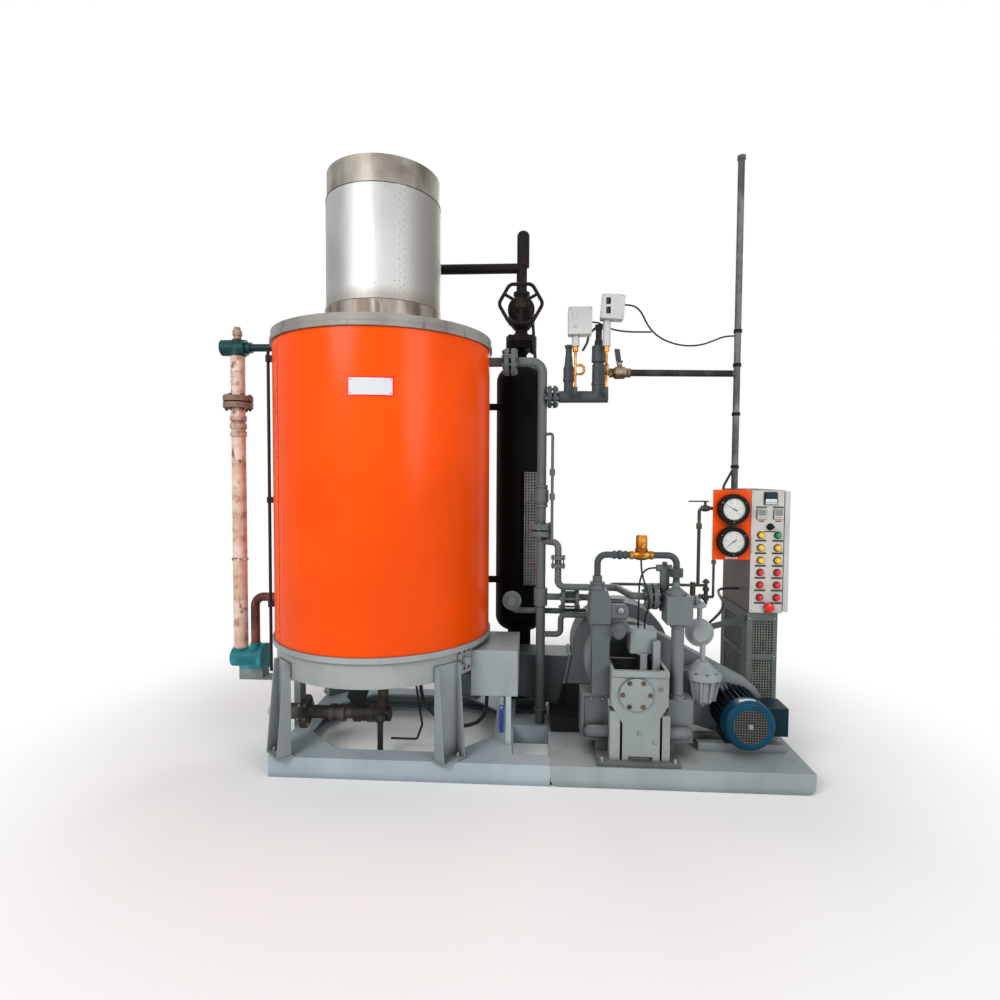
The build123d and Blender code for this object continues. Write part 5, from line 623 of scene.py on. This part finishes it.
def weathered_tube():
    tube = Finish("weathered_tube", specular_ior_level=0.2)
    cloud = tube.noise(11, 6)
    flakes = tube.noise(38, 5, (1, 1, 0.55))
    rings = tube.noise(26, 3, (0.15, 0.15, 1))
    rust = (flakes * 0.55 + rings * 0.45).band(0.47, 0.62)
    tone = tube.mix(cloud.band(0.3, 0.7), srgb(208, 174, 152), srgb(230, 210, 195))
    tone = tube.mix(rust * 0.6, tone, srgb(156, 92, 62))
    tone = tube.mix((flakes * cloud).band(0.34, 0.42) * 0.8, tone, srgb(76, 48, 38))
    height = tube.axis("Z")
    flange = height.between(*TUBE_FLANGE_ZS)
    ribs = height.between(*TUBE_RIB_ZS) * rings.band(0.4, 0.6)
    tone = tube.mix(flange * 0.8, tone, srgb(88, 58, 44))
    tone = tube.mix(ribs * 0.6, tone, srgb(118, 80, 60))
    return tube.done(tone, 0.5 + rust * 0.3, flakes + rust, 0.3, 0.0015)


stainless = stainless_sheet()
stack_sheet = heat_stained_sheet()
oxide_iron = dark_iron("oxide_iron", (0.012, 0.009, 0.009), (0.05, 0.02, 0.012), 0.25)
lever_iron = dark_iron("lever_iron", (0.034, 0.034, 0.034), (0.02, 0.017, 0.015), 0.3)
line_iron = dark_iron("line_iron", (0.06, 0.055, 0.05), (0.16, 0.12, 0.09), 0.4)
bolt_steel = dark_iron("bolt_steel", (0.30, 0.31, 0.31), (0.10, 0.07, 0.05), 0.15, 0.9, 0.34)
painted_bolt = dark_iron("painted_bolt", srgb(104, 112, 114), (0.05, 0.035, 0.03), 0.1, 0.0)
rusty_bolt = dark_iron("rusty_bolt", srgb(104, 80, 68), srgb(62, 44, 38), 0.5, 0.4)
brass = yellow_metal("brass", srgb(206, 146, 62), srgb(140, 86, 28))
bronze = yellow_metal("bronze", srgb(150, 134, 112), srgb(76, 62, 48), 0.38)
tube_paint = weathered_tube()
print("metal finishes ready")

# %% [markdown]
# Rubber and plastic: cables are matt black with a faint dusty bloom; lever grips are dipped vinyl; the
# lamps' caps are coloured plastic with a glossy skin.

# %% Rubber and plastic


def sheath(name, colour, rough=0.5, coat=0.0, gloss=0.3):
    skin = Finish(name, coat_weight=coat, coat_roughness=0.2, specular_ior_level=gloss)
    dust = skin.noise(22, 4)
    tone = skin.mix(dust.band(0.5, 0.8) * 0.5, colour, toned(colour, 0.92, 0.008))
    return skin.done(tone, rough + dust * 0.2, skin.noise(300, 2), 0.08, 0.0006)


cable_rubber = sheath("cable_rubber", (0.010, 0.010, 0.011))
hose_rubber = sheath("hose_rubber", (0.014, 0.014, 0.015), 0.42)
blue_vinyl = sheath("blue_vinyl", srgb(10, 52, 120), 0.35, 0.2)
dark_vinyl = sheath("dark_vinyl", srgb(24, 30, 44), 0.4, 0.2)
rim_plastic = sheath("rim_plastic", (0.003, 0.003, 0.0035), 0.4, 0.0, 0.12)
lens_yellow = sheath("lens_yellow", srgb(238, 190, 20), 0.2, 0.3)
lens_green = sheath("lens_green", srgb(8, 136, 62), 0.2, 0.3)
lens_red = sheath("lens_red", srgb(214, 14, 24), 0.2, 0.3)
legend_brown = sheath("legend_brown", srgb(58, 50, 46), 0.4)
plate_white = sheath("plate_white", srgb(204, 209, 214), 0.4, 0.0, 0.15)
plate_red = sheath("plate_red", srgb(226, 22, 34), 0.35)
dial_white = sheath("dial_white", srgb(206, 206, 203), 0.5, 0.0, 0.1)
dial_black = sheath("dial_black", (0.008, 0.008, 0.008), 0.5)
screen_dark = sheath("screen_dark", srgb(16, 40, 50), 0.2, 0.0, 0.15)
screen_grey = sheath("screen_grey", srgb(118, 124, 120), 0.3)
strip_pink = sheath("strip_pink", srgb(196, 138, 124), 0.35)
print("rubber and plastic ready")

# %% [markdown]
# The pedestal's windows and the guard beside the black vessel are punched sheet. Cutting thousands of
# holes in the mesh would be wasteful, so the holes are drawn as clear squares. Distance from the nearest
# row line is a back-and-forth sum, and a sheet that faces sideways works too, because its depth adds in
# place of its width.

# %% Punched sheet


def punched_sheet(name, colour, pitch, bar):
    sheet = Finish(name, specular_ior_level=0.25)
    cloud = sheet.noise(8, 4)
    along = (sheet.axis("X") + sheet.axis("Y")).back_and_forth(pitch / 2)
    up = sheet.axis("Z").back_and_forth(pitch / 2)
    solid = (along < bar / 2).either(up < bar / 2)
    tone = sheet.cloudy(cloud, toned(colour, 0.6), colour)
    tone = sheet.mix(cloud.band(0.6, 0.7) * 0.5, tone, srgb(104, 72, 54))
    return sheet.done(tone, 0.45 + cloud * 0.25, sheet.noise(240, 2), 0.15, 0.001, Alpha=solid)


window_sheet = punched_sheet("window_sheet", srgb(112, 120, 113), 0.0125, 0.0034)
guard_sheet = punched_sheet("guard_sheet", srgb(120, 126, 126), 0.015, 0.0062)
print("punched sheet ready")

# %% [markdown]
# Every node that stays in view takes one of these finishes.

# %% Dress the model's nodes
DRESS = {
    skid_paint: "skid_frame",
    platform_paint: "pump_platform",
    pan_paint: "burner_pan",
    windbox_shade_paint: "windbox",
    lid_paint: "drum_lid",
    leg_paint: "drum_legs motor_rails",
    base_paint: "pump_base",
    cover_paint: "duct_cover",
    guard_paint: "belt_guard",
    chamber_paint: "pulsation_chamber",
    crank_paint: "crankcase",
    actuator_paint: "actuator_box",
    left_pump_paint: "left_pump_cylinder",
    right_pump_paint: "right_pump_cylinder",
    pipe_paint: "riser_pipework",
    header_paint: "safety_header pump_loop",
    fuel_paint: "gas_line",
    duct_paint: "air_duct",
    scroll_paint: "blower_scroll",
    orange_enamel: "drum_shell gauge_plate",
    stainless: "flue_jacket",
    stack_sheet: "flue_liner",
    black_enamel: "separator_shell separator_top separator_bottom",
    oxide_iron: "stop_valve stop_valve_wheel steam_outlet",
    pole_iron: "vent_pole",
    lever_iron: "cock_lever gauge_cock_lever",
    line_iron: "gauge_lines",
    column_head: "level_head",
    column_foot: "level_base",
    tube_paint: "level_tube",
    motor_enamel: "motor",
    cabinet_shaded_side: "cabinet_body",
    cabinet_enamel: "cabinet_door",
    mesh_enamel: "cabinet_pedestal",
    window_sheet: "pedestal_mesh",
    guard_sheet: "gauge_glass_guard",
    brass: "siphons solenoid_valve",
    bronze: "ball_valve",
    blue_vinyl: "drain_lever",
    dark_vinyl: "ball_valve_lever",
    case_plastic: "pressure_switches",
    cable_rubber: "sensor_cable",
    rim_plastic: "pressure_gauges panel_controls",
}

for finish, names in DRESS.items():
    for name in names.split():
        mesh = nodes[name].data
        mesh.materials.clear()
        mesh.materials.append(finish)

print("nodes dressed:", sum(len(names.split()) for names in DRESS.values()))

# %% [markdown]
# The free cables and hoses follow the same points as the solids that they replace. A curve with a round
# bevel is the natural way: its points pull a smooth line, as a cable bends, and the bevel gives it its
# girth.

# %% Cables and hoses
CABLE = (0.008, cable_rubber, "cable_black")
HOSE = (0.018, hose_rubber, "cable_black")
CONDUIT = (0.012, hose_rubber, "hose_grey")
ROUTES = {
    "cord_switch": (CABLE, 0.681, (
        (1120, -28, 2072), (1162, -28, 2072), (1204, 0, 2046), (1236, 40, 2000), (1285, 75, 1958),
        (1350, 105, 1932), (1430, 132, 1919), (1515, 155, 1926), (1590, 180, 1955), (1645, 200, 1981),
        (1692, 200, 1981))),
    "cord_left_switch": (CABLE, 0.302, (
        (972, -10, 2000), (1000, -10, 2000), (1030, 2, 1986), (1064, 12, 1974), (1108, 24, 1967),
        (1160, 36, 1965), (1212, 48, 1967), (1260, 57, 1969))),
    "cord_solenoid": (CABLE, 0.336, (
        (1173, -250, 930), (1173, -250, 895), (1180, -268, 850), (1196, -284, 800), (1206, -280, 748),
        (1203, -252, 708), (1198, -215, 678), (1198, -215, 625))),
    "cord_post": (CABLE, 0.308, (
        (1251, -186, 888), (1221, -186, 888), (1195, -185, 870), (1182, -184, 838), (1178, -183, 796),
        (1178, -182, 740), (1176, -186, 682), (1176, -186, 625))),
    "hose_burner": (HOSE, 0.580, (
        (190, -90, 330), (190, -90, 260), (228, -95, 194), (292, -99, 141), (368, -102, 118),
        (439, -105, 130), (480, -108, 161), (504, -110, 208), (504, -110, 310))),
    "hose_cabinet": (CONDUIT, 0.473, (
        (1492, -162, 645), (1536, -152, 680), (1570, -100, 705), (1588, -32, 718), (1594, 36, 728),
        (1606, 98, 736), (1632, 142, 738), (1676, 164, 738), (1726, 164, 738))),
}

for name, ((girth, finish, slot), length, route) in ROUTES.items():
    curve = bpy.data.curves.new(name + "_line", "CURVE")
    curve.dimensions = "3D"
    curve.bevel_depth = girth / 2
    curve.bevel_resolution = 4
    curve.resolution_u = 8
    curve.use_fill_caps = True
    spline = curve.splines.new("NURBS")
    spline.points.add(len(route) - 1)
    for point, place in zip(spline.points, route):
        point.co = (*at(*place), 1)
    spline.order_u = 3
    spline.use_endpoint_u = True
    curve.materials.append(finish)
    piece = stand(name + "_line", curve)
    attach(piece, "frame")
    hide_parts(name)
print("cables laid:", len(ROUTES))

# %% [markdown]
# Fasteners and plates are small, but a plant without them looks like a toy. One helper class keeps a mesh
# under work. Its main tool lofts outlines along a direction, so a bolt head, a lamp cap, a dial and a
# bevelled plate are all a few outlines at a few heights. Sizes are in millimetres, on the drawing's axes.

# %% Mesh work helper
FRONT, UP, RIGHT, LEFT = (0, -1, 0), (0, 0, 1), (1, 0, 0), (-1, 0, 0)


def circle(radius, sides=24):
    turns = [2 * math.pi * i / sides for i in range(sides)]
    return [(radius * math.cos(a), radius * math.sin(a)) for a in turns]


def on_round(radius, degrees, z):
    # A point round the drum's axis; with a radius of 1 and no height, the way that it faces
    angle = math.radians(degrees)
    return radius * math.cos(angle), radius * math.sin(angle), z


def soft_corners(width, height, corner, steps=4):
    outline = []
    for quarter, (x, y) in enumerate(((1, 1), (-1, 1), (-1, -1), (1, -1))):
        for i in range(steps + 1):
            angle = math.pi / 2 * (quarter + i / steps)
            outline.append((x * (width / 2 - corner) + corner * math.cos(angle),
                            y * (height / 2 - corner) + corner * math.sin(angle)))
    return outline


def turned_outline(outline, angle):
    cos, sin = math.cos(angle), math.sin(angle)
    return [(u * cos - v * sin, u * sin + v * cos) for u, v in outline]


class Work:
    def __init__(self, name, *finishes):
        self.name = name
        self.finishes = finishes
        self.mesh = bmesh.new()

    def face(self, corners, finish):
        self.mesh.faces.new(corners).material_index = finish

    def layers(self, rows, finish):
        # Rows of points, joined one to the next and closed at both ends
        rows = [[self.mesh.verts.new(point) for point in row] for row in rows]
        for low, high in zip(rows, rows[1:]):
            for i in range(len(low)):
                j = (i + 1) % len(low)
                self.face((low[i], low[j], high[j], high[i]), finish)
        self.face(rows[0][::-1], finish)
        self.face(rows[-1], finish)

    def loft(self, place, facing, rings, finish=0):
        facing = Vector(facing).normalized()
        up = Vector((0, 0, 1)) if abs(facing.z) < 0.9 else Vector((0, 1, 0))
        across = up.cross(facing).normalized()
        up = facing.cross(across)
        base = at(*place)
        self.layers([[base + (across * u + up * v + facing * height) * MM for u, v in outline]
                     for outline, height in rings], finish)

    def plate(self, place, facing, width, height, corner, thick, finish=0):
        edge = min(thick * 0.4, corner * 0.5)
        full = soft_corners(width, height, corner)
        inset = soft_corners(width - 2 * edge, height - 2 * edge, corner - edge)
        self.loft(place, facing, ((full, 0), (full, thick - edge), (inset, thick)), finish)

    def wrap(self, radius, thick, angles, heights, finish=0, steps=16, centre=(0, 0, 0), axis=UP):
        # A thin plate bent round an axis, from one angle and height to another
        axis, zero = Vector(axis), Vector(RIGHT)
        side = axis.cross(zero)
        base = at(*centre)
        rows = []
        for i in range(steps + 1):
            angle = math.radians(angles[0] + (angles[1] - angles[0]) * i / steps)
            out = zero * math.cos(angle) + side * math.sin(angle)
            rows.append([base + (out * r + axis * h) * MM for r, h in
                         ((radius, heights[0]), (radius + thick, heights[0]), (radius + thick, heights[1]),
                          (radius, heights[1]))])
        self.layers(rows, finish)

    def spun(self, place, facing, steps, sides=24, finish=0):
        # A round or six-sided piece, from steps of radius and height
        self.loft(place, facing, [(circle(r, sides), h) for r, h in steps], finish)

    def bolt(self, place, facing, size, finish=0):
        washer = ((size * 1.1, -0.3), (size * 1.1, size * 0.16), (size * 1.02, size * 0.2))
        head = ((size * 0.95, size * 0.18), (size * 0.95, size * 0.72), (size * 0.78, size * 0.84))
        self.spun(place, facing, washer, 18, finish)
        self.spun(place, facing, head, 6, finish)

    def nut(self, place, facing, size, finish=0):
        self.bolt(place, facing, size, finish)
        thread = ((size * 0.5, 0), (size * 0.5, size * 1.25), (size * 0.4, size * 1.4))
        self.spun(place, facing, thread, 12, finish)

    def rivet(self, place, facing, radius, finish=0):
        dome = ((radius, -0.2), (radius * 0.92, radius * 0.35), (radius * 0.62, radius * 0.62),
                (radius * 0.2, radius * 0.74))
        self.spun(place, facing, dome, 12, finish)

    def studs(self, start, axis, length, reach, count, size):
        # Long bolts through a pair of flanges: a head on one side, a nut on the other, the shank between
        axis = Vector(axis)
        side = axis.orthogonal().normalized()
        for i in range(count):
            spin = Matrix.Rotation(math.pi / count + 2 * math.pi * i / count, 3, axis)
            foot = Vector(start) + spin @ side * reach
            self.bolt(foot + axis * length, axis, size)
            self.nut(foot, -axis, size)
            self.spun(foot, axis, ((size / 2, 0), (size / 2, length)), 10)

    def done(self, slot, body="frame"):
        bmesh.ops.recalc_face_normals(self.mesh, faces=self.mesh.faces)
        mesh = bpy.data.meshes.new(self.name)
        self.mesh.to_mesh(mesh)
        self.mesh.free()
        for finish in self.finishes:
            mesh.materials.append(finish)
        mesh.shade_smooth()
        mesh.set_sharp_from_angle(angle=math.radians(35))
        piece = stand(self.name, mesh)
        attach(piece, body)
        print(self.name, len(mesh.polygons), "faces")

# %% [markdown]
# Pipe flanges come in pairs with through bolts. Each row below gives where a pair starts, the way its
# bolts run, how long they are, the circle that they sit on, their number and their thread.

# %% Flange bolts
FLANGES = (
    ("pipe_flange_bolts", painted_bolt, "machine_grey",
     (((750, 40, 1000), UP, 56, 44, 6, 10), ((570, 40, 1828), RIGHT, 52, 50, 8, 10),
      ((777, 40, 1663), RIGHT, 40, 41, 6, 9), ((849, 40, 706), RIGHT, 81, 47, 4, 10),
      ((1203, -215, 768), RIGHT, 45, 44, 8, 9), ((829, -30, 862), UP, 50, 25, 4, 7))),
    ("iron_valve_bolts", oxide_iron, "iron_pipe",
     (((640, 400, 1960), UP, 68, 64, 8, 12), ((640, 330, 2153), FRONT, 20, 61, 6, 9))),
    ("level_column_bolts", rusty_bolt, "cream_pipe", (((-718, 0, 1606), UP, 58, 53, 6, 10),)),
    ("fuel_flange_bolts", bolt_steel, "machine_grey", (((-344, -150, 190), RIGHT, 16, 58, 6, 9),)),
)

for name, finish, slot, rows in FLANGES:
    work = Work(name, finish)
    for row in rows:
        work.studs(*row)
    work.done(slot)

# %% [markdown]
# The pump's castings are held by hexagon bolts. The round crank cover has six copper-brown ones; the
# plates under it, the base, the ear of the left head and the chamber's cap have plain ones.

# %% Crank cover bolts
copper = Work("crank_cover_bolts", rusty_bolt)
for i in range(6):
    x, z, _ = on_round(57, 60 * i, 0)
    copper.bolt((1142 + x, -364, 386 + z), FRONT, 9)
copper.done("machine_grey")

# %% Pump bolts
plain = Work("pump_bolts", bolt_steel)
plain.bolt((1158, -352, 223), FRONT, 9)
plain.bolt((1222, -352, 186), FRONT, 9)
plain.bolt((1083, -300, 721), FRONT, 12)
for x, y in product((1003, 1304), (-360, -150)):
    plain.nut((x, y, 104), UP, 12)
plain.done("machine_grey")

# %% Chamber cap bolts
painted = Work("chamber_cap_bolts", painted_bolt)
for i in range(10):
    x, y, z = on_round(74, 36 * i + 18, 432)
    painted.bolt((1464 + x, -162 + y, z), UP, 6)
painted.spun((1243, -352, 407), FRONT, ((9, 0), (9, 3), (7, 5)))
for x, z in product((965, 1013), (178, 336)):
    painted.bolt((x, -280, z), FRONT, 6)
painted.done("machine_grey")

# %% [markdown]
# The drum's four feet are bolted to the skid, and the burner pan carries a small bolted patch.

# %% Foot bolts
work = Work("foot_bolts", bolt_steel)
for degrees, side in product((45, 135, 225, 315), (-38, 38)):
    (x, y), = turned_outline(((526, side),), math.radians(degrees))
    work.nut((x, y, 98), UP, 11)
work.done("grey_paint")

# %% Pan patch bolts
work = Work("pan_patch_bolts", rusty_bolt)
for degrees in (-36.6, -33, -29.4):
    for z in ((450, 525) if degrees == -33 else (450, 488, 525)):
        work.bolt(on_round(496, degrees, z), on_round(1, degrees, 0), 6)
work.done("grey_paint")

# %% [markdown]
# The drum's jacket is one rolled sheet: it laps over itself in a riveted seam at the left, and carries a
# bare white plate with a red border in front. Both follow the drum's curve, so they are thin bent plates.

# %% Drum plate
DRUM_SKIN, SEAM_ANGLE = 500, -140
PLATE_ANGLES, PLATE_HEIGHTS = (-92.4, -71.5), (1596, 1674)

work = Work("drum_plate", plate_white, plate_red, bolt_steel)
low, high = PLATE_ANGLES
bottom, top = PLATE_HEIGHTS
work.wrap(DRUM_SKIN, 1.2, PLATE_ANGLES, PLATE_HEIGHTS, 1)
work.wrap(DRUM_SKIN + 0.6, 1.0, (low + 0.7, high - 0.7), (bottom + 6, top - 6))
for degrees, z in product((low + 1.5, high - 1.5), (bottom + 13, top - 13)):
    work.rivet(on_round(DRUM_SKIN + 1.6, degrees, z), on_round(1, degrees, 0), 3.2, 2)
work.done("orange_paint")

# %% Drum seam
work = Work("drum_seam", orange_enamel)
work.wrap(DRUM_SKIN - 0.2, 1.4, (SEAM_ANGLE - 1.4, SEAM_ANGLE + 1.4), (562, 1866), 0, 6)
for i in range(14):
    work.rivet(on_round(DRUM_SKIN + 1.1, SEAM_ANGLE, 610 + 94 * i), on_round(1, SEAM_ANGLE, 0), 4)
work.done("orange_paint")

# %% [markdown]
# The stainless jacket of the stack is closed by a lapped seam with small blind rivets, not quite in line,
# as they are when a fitter drills them by eye.

# %% Stack rivets
STACK_SKIN = 264.6

work = Work("stack_seam", stainless, bolt_steel, oxide_iron)
for z in (2044, 2535):
    work.wrap(STACK_SKIN, 1.6, (0, 359.9), (z, z + 3), 2, 72)
work.wrap(STACK_SKIN + 0.2, 1.2, (-66, -55), (2047, 2536), 0, 8)
for i, (degrees, shift) in product(range(15), ((-61.5, 0), (-57, 15))):
    degrees += 0.5 * math.sin(2.3 * i + shift)
    place = on_round(STACK_SKIN + 1.3, degrees, 2066 + 31 * i + shift)
    work.rivet(place, on_round(1, degrees, 0), 2.8, 1)
work.done("stainless")

# %% [markdown]
# The panel's front is a pale folded sheet. Lamps sit on it in two columns: yellow and green above, red
# below, each over a dark bare legend plate. A controller and two small meters are at the top, a red stop
# button below.

# %% Panel front
LAMP_XS, LAMP_ZS = (1773, 1850), (1017, 958, 899, 842, 783, 724)
SHEET_Y, LEGEND_Y, METER_Y, SCREEN_Y = 18.5, 18.6, 10, 8.6
LAMP_RIM = ((17.5, 0), (17.5, 2.4), (16, 3.4))
LAMP_CAP = ((13.6, 0), (13.6, 5), (12.6, 9.6), (10.4, 12.4), (9.4, 12.2), (8.6, 12.8), (4, 14))
STOP_CAP = ((21.8, -0.3), (22.4, 3), (22.4, 10.4), (20.4, 15), (14.5, 18.2), (5, 19.3))

work = Work("panel_sheet", cabinet_enamel, bolt_steel)
work.plate((1802, 20, 939), FRONT, 150, 576, 4, 1.6)
for x, z in product((1734, 1870), (662, 939, 1216)):
    work.rivet((x, SHEET_Y, z), FRONT, 3.2, 1)
work.done("cabinet_front")

# %% Panel lamps
work = Work("panel_lamps", lens_yellow, lens_green, lens_red, legend_brown)
for (row, z), (column, x) in product(enumerate(LAMP_ZS), enumerate(LAMP_XS)):
    colour = 2 if row > 2 else 1 if (row, column) == (0, 1) else 0
    work.spun((x, 13.2, z), FRONT, LAMP_CAP, 28, colour)
    work.spun((x, SHEET_Y, z), FRONT, LAMP_RIM, 28, 3)
work.spun((1814, 12.2, 678), FRONT, STOP_CAP, 36, 2)
work.done("control_plastic")

# %% Legend plates
work = Work("legend_plates", legend_brown, plate_white)
for x in LAMP_XS:
    for z in LAMP_ZS:
        work.plate((x, LEGEND_Y, z - 26), FRONT, 52, 9, 4.2, 1.0)
    work.plate((x, LEGEND_Y, 1148), FRONT, 52, 6.5, 3.1, 1.0)
    work.plate((x, LEGEND_Y, 1082), FRONT, 26, 5, 2.4, 1.0)
work.plate((1814, LEGEND_Y, 1034), FRONT, 54, 5.5, 2.6, 1.0)
work.plate((1814, LEGEND_Y, 655.5), FRONT, 40, 5, 2.4, 1.0)
work.plate((1640, 20, 1061), FRONT, 48, 10, 2, 1.0)
work.plate((1640, 20, 909), FRONT, 56, 9, 2, 1.0, 1)
work.done("control_plastic")

# %% Controller face
work = Work("controller_face", rim_plastic, screen_dark, plate_white, screen_grey, strip_pink)
work.plate((1813, METER_Y, 1189), FRONT, 57, 57, 4, 1.6)
work.plate((1813, SCREEN_Y, 1203), FRONT, 49, 24, 2, 1.0, 1)
work.plate((1813, SCREEN_Y, 1174), FRONT, 51, 25, 2, 1.0, 2)
for i in range(4):
    work.plate((1795 + 12 * i, 7.7, 1169), FRONT, 8, 5, 2, 1.2, 3)
for x in LAMP_XS:
    work.plate((x, METER_Y, 1115), FRONT, 41, 45, 3, 1.4, 2)
    work.plate((x, 8.8, 1122), FRONT, 36, 28, 2, 0.9, 3)
    work.plate((x, 8.8, 1100), FRONT, 36, 10, 2, 0.9, 4)
work.done("control_plastic")

# %% [markdown]
# The two pressure gauges have white dials in black rims. A gauge's scale runs three quarters of a turn,
# from low left to low right. Ticks and needle are thin raised shapes, the figures are text turned into
# mesh, and the glass is a thin clear disc.

# %% Gauge dials
GAUGE_X, DIAL_Y, GLASS_Y, RIM_Y = 1640, -6, -11.2, -14
DIAL_R, FIGURE_R, SCREW_R = 48, 29, 61
NEEDLE = ((41, 0.6), (-3, 2), (-8, 3.4), (-18, 3.4), (-18, -3.4), (-8, -3.4), (-3, -2), (41, -0.6))
GAUGES = ((1138, 152, ("0", "5", "10", "15", "20", "25")), (986, 217, ("0", "2", "4", "6", "8", "10")))
SCALE_START, SCALE_SWEEP = 225, 270


def add_figures(work, text, place, size, finish):
    # Default-font figures, stood up to face the front and joined to the mesh under work
    curve = bpy.data.curves.new("figures", "FONT")
    curve.body = text
    curve.size = size * MM
    curve.align_x = "CENTER"
    curve.align_y = "CENTER"
    curve.extrude = 0.0002
    holder = bpy.data.objects.new("figures", curve)
    mesh = bpy.data.meshes.new_from_object(holder)
    mesh.transform(Matrix.Translation(at(*place)) @ Matrix.Rotation(math.pi / 2, 4, "X"))
    before = len(work.mesh.faces)
    work.mesh.from_mesh(mesh)
    work.mesh.faces.ensure_lookup_table()
    for face in work.mesh.faces[before:]:
        face.material_index = finish
    bpy.data.objects.remove(holder)
    bpy.data.curves.remove(curve)
    bpy.data.meshes.remove(mesh)


work = Work("gauge_dials", dial_white, dial_black, bolt_steel)
for centre, needle, figures in GAUGES:
    place = (GAUGE_X, DIAL_Y, centre)
    work.spun(place, FRONT, ((51.7, 0), (51.7, 0.4)), 64, 1)
    work.spun(place, FRONT, ((DIAL_R, 0), (DIAL_R, 0.8)), 64)
    for i in range(51):
        angle = math.radians(SCALE_START - SCALE_SWEEP * i / 50)
        inner, half = (37, 0.8) if i % 10 == 0 else (41, 0.4)
        tick = turned_outline(((44.5, -half), (44.5, half), (inner, half), (inner, -half)), angle)
        work.loft(place, FRONT, ((tick, 0.7), (tick, 1.0)), 1)
    for i, text in enumerate(figures):
        x, z, _ = on_round(FIGURE_R, SCALE_START - SCALE_SWEEP * i / (len(figures) - 1), 0)
        add_figures(work, text, (GAUGE_X + x, DIAL_Y - 0.9, centre + z), 9, 1)
    hand = turned_outline(NEEDLE, math.radians(needle))
    work.loft(place, FRONT, ((hand, 1.8), (hand, 2.5)), 1)
    work.spun(place, FRONT, ((4.4, 0.8), (4.4, 3.2), (2.8, 4.0)), finish=1)
    for degrees in (30, 150, 270):
        x, z, _ = on_round(SCREW_R, degrees, 0)
        work.rivet((GAUGE_X + x, RIM_Y, centre + z), FRONT, 2.6, 2)
for x, z in product((1562, 1714), (909, 1218)):
    work.rivet((x, 20, z), FRONT, 3, 2)
work.done("gauge_black")

# %% Gauge glass
clear = Finish("gauge_glass", base_color=(0.9, 0.92, 0.92, 1), specular_ior_level=0.5)
smear = clear.noise(40, 3)
clear.feed(Roughness=0.03 + smear * 0.05, Alpha=0.05 + smear * 0.05)
work = Work("gauge_glass", clear.material)
for centre, needle, figures in GAUGES:
    work.spun((GAUGE_X, GLASS_Y, centre), FRONT, ((51.8, 0), (51.8, 1.2), (50.6, 1.7)), 48)
work.done("gauge_black")

# %% [markdown]
# The pressure switches are white cases: the right one shows two dark setting windows, the left one a pale
# cover with a turned dial, and both have round-headed cover screws.

# %% Pressure switch fronts
SWITCH_Y = -60

work = Work("switch_fronts", rim_plastic, screen_grey, bolt_steel, case_plastic)
for z in (2083, 2041):
    work.plate((1044, SWITCH_Y, z), FRONT, 20, 30, 3, 1.6, 0)
    for i in range(5):
        work.plate((1041, -61.5, z - 10 + 5 * i), FRONT, 8, 1.2, 0.4, 0.5, 1)
work.plate((893, SWITCH_Y, 2018), FRONT, 22, 40, 4, 1.4, 3)
work.spun((893, SWITCH_Y, 1972), FRONT, ((10, 0), (10, 1.6), (8, 2.6)), finish=3)
work.plate((893, -62.4, 1972), FRONT, 12, 2.4, 0.8, 0.8, 1)
for x, z in ((872, 2050), (964, 2050), (964, 1944), (1020, 2106), (1104, 2106), (1104, 2014)):
    work.rivet((x, SWITCH_Y, z), FRONT, 3.4, 2)
work.done("switch_case")

# %% [markdown]
# The motor has a bare white plate on its cowl, a bolt in the middle of its wire guard, screws on the
# terminal box and nuts on its foot. The pedestal's frame has small screws too, in front and on its left
# side.

# %% Motor screws and plate
work = Work("motor_details", plate_white, bolt_steel, motor_enamel)
work.wrap(105.8, 1.0, (74, 112), (250, 270), centre=(MOTOR_X, 0, MOTOR_Z), axis=FRONT)
work.bolt((MOTOR_X, -292, MOTOR_Z), FRONT, 9, 1)
for z, y in product((184, 282), (-222, -124)):
    work.rivet((1812, y, z), RIGHT, 4, 2)
for y, x in product((-187, -103), (1566, 1698)):
    work.nut((x, y, 123), UP, 9, 1)
work.done("motor_blue")

# %% Pedestal screws
work = Work("frame_screws", bolt_steel)
for z, x in product((222, 441, 622), (1732, 1850)):
    work.rivet((x, 26, z), FRONT, 4)
for z, y in product((261, 441, 610), (80, 340)):
    work.rivet((1720, y, z), LEFT, 4)
work.done("mesh_green")

# %% [markdown]
# Last, the sizes of the model before and after the dressing are written down, so that they can be compared.

# %% Sizes and finish
low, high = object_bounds()
for label, span in (("model", cad_high - cad_low), ("dressed", high - low)):
    print(label, [round(v, 3) for v in span])
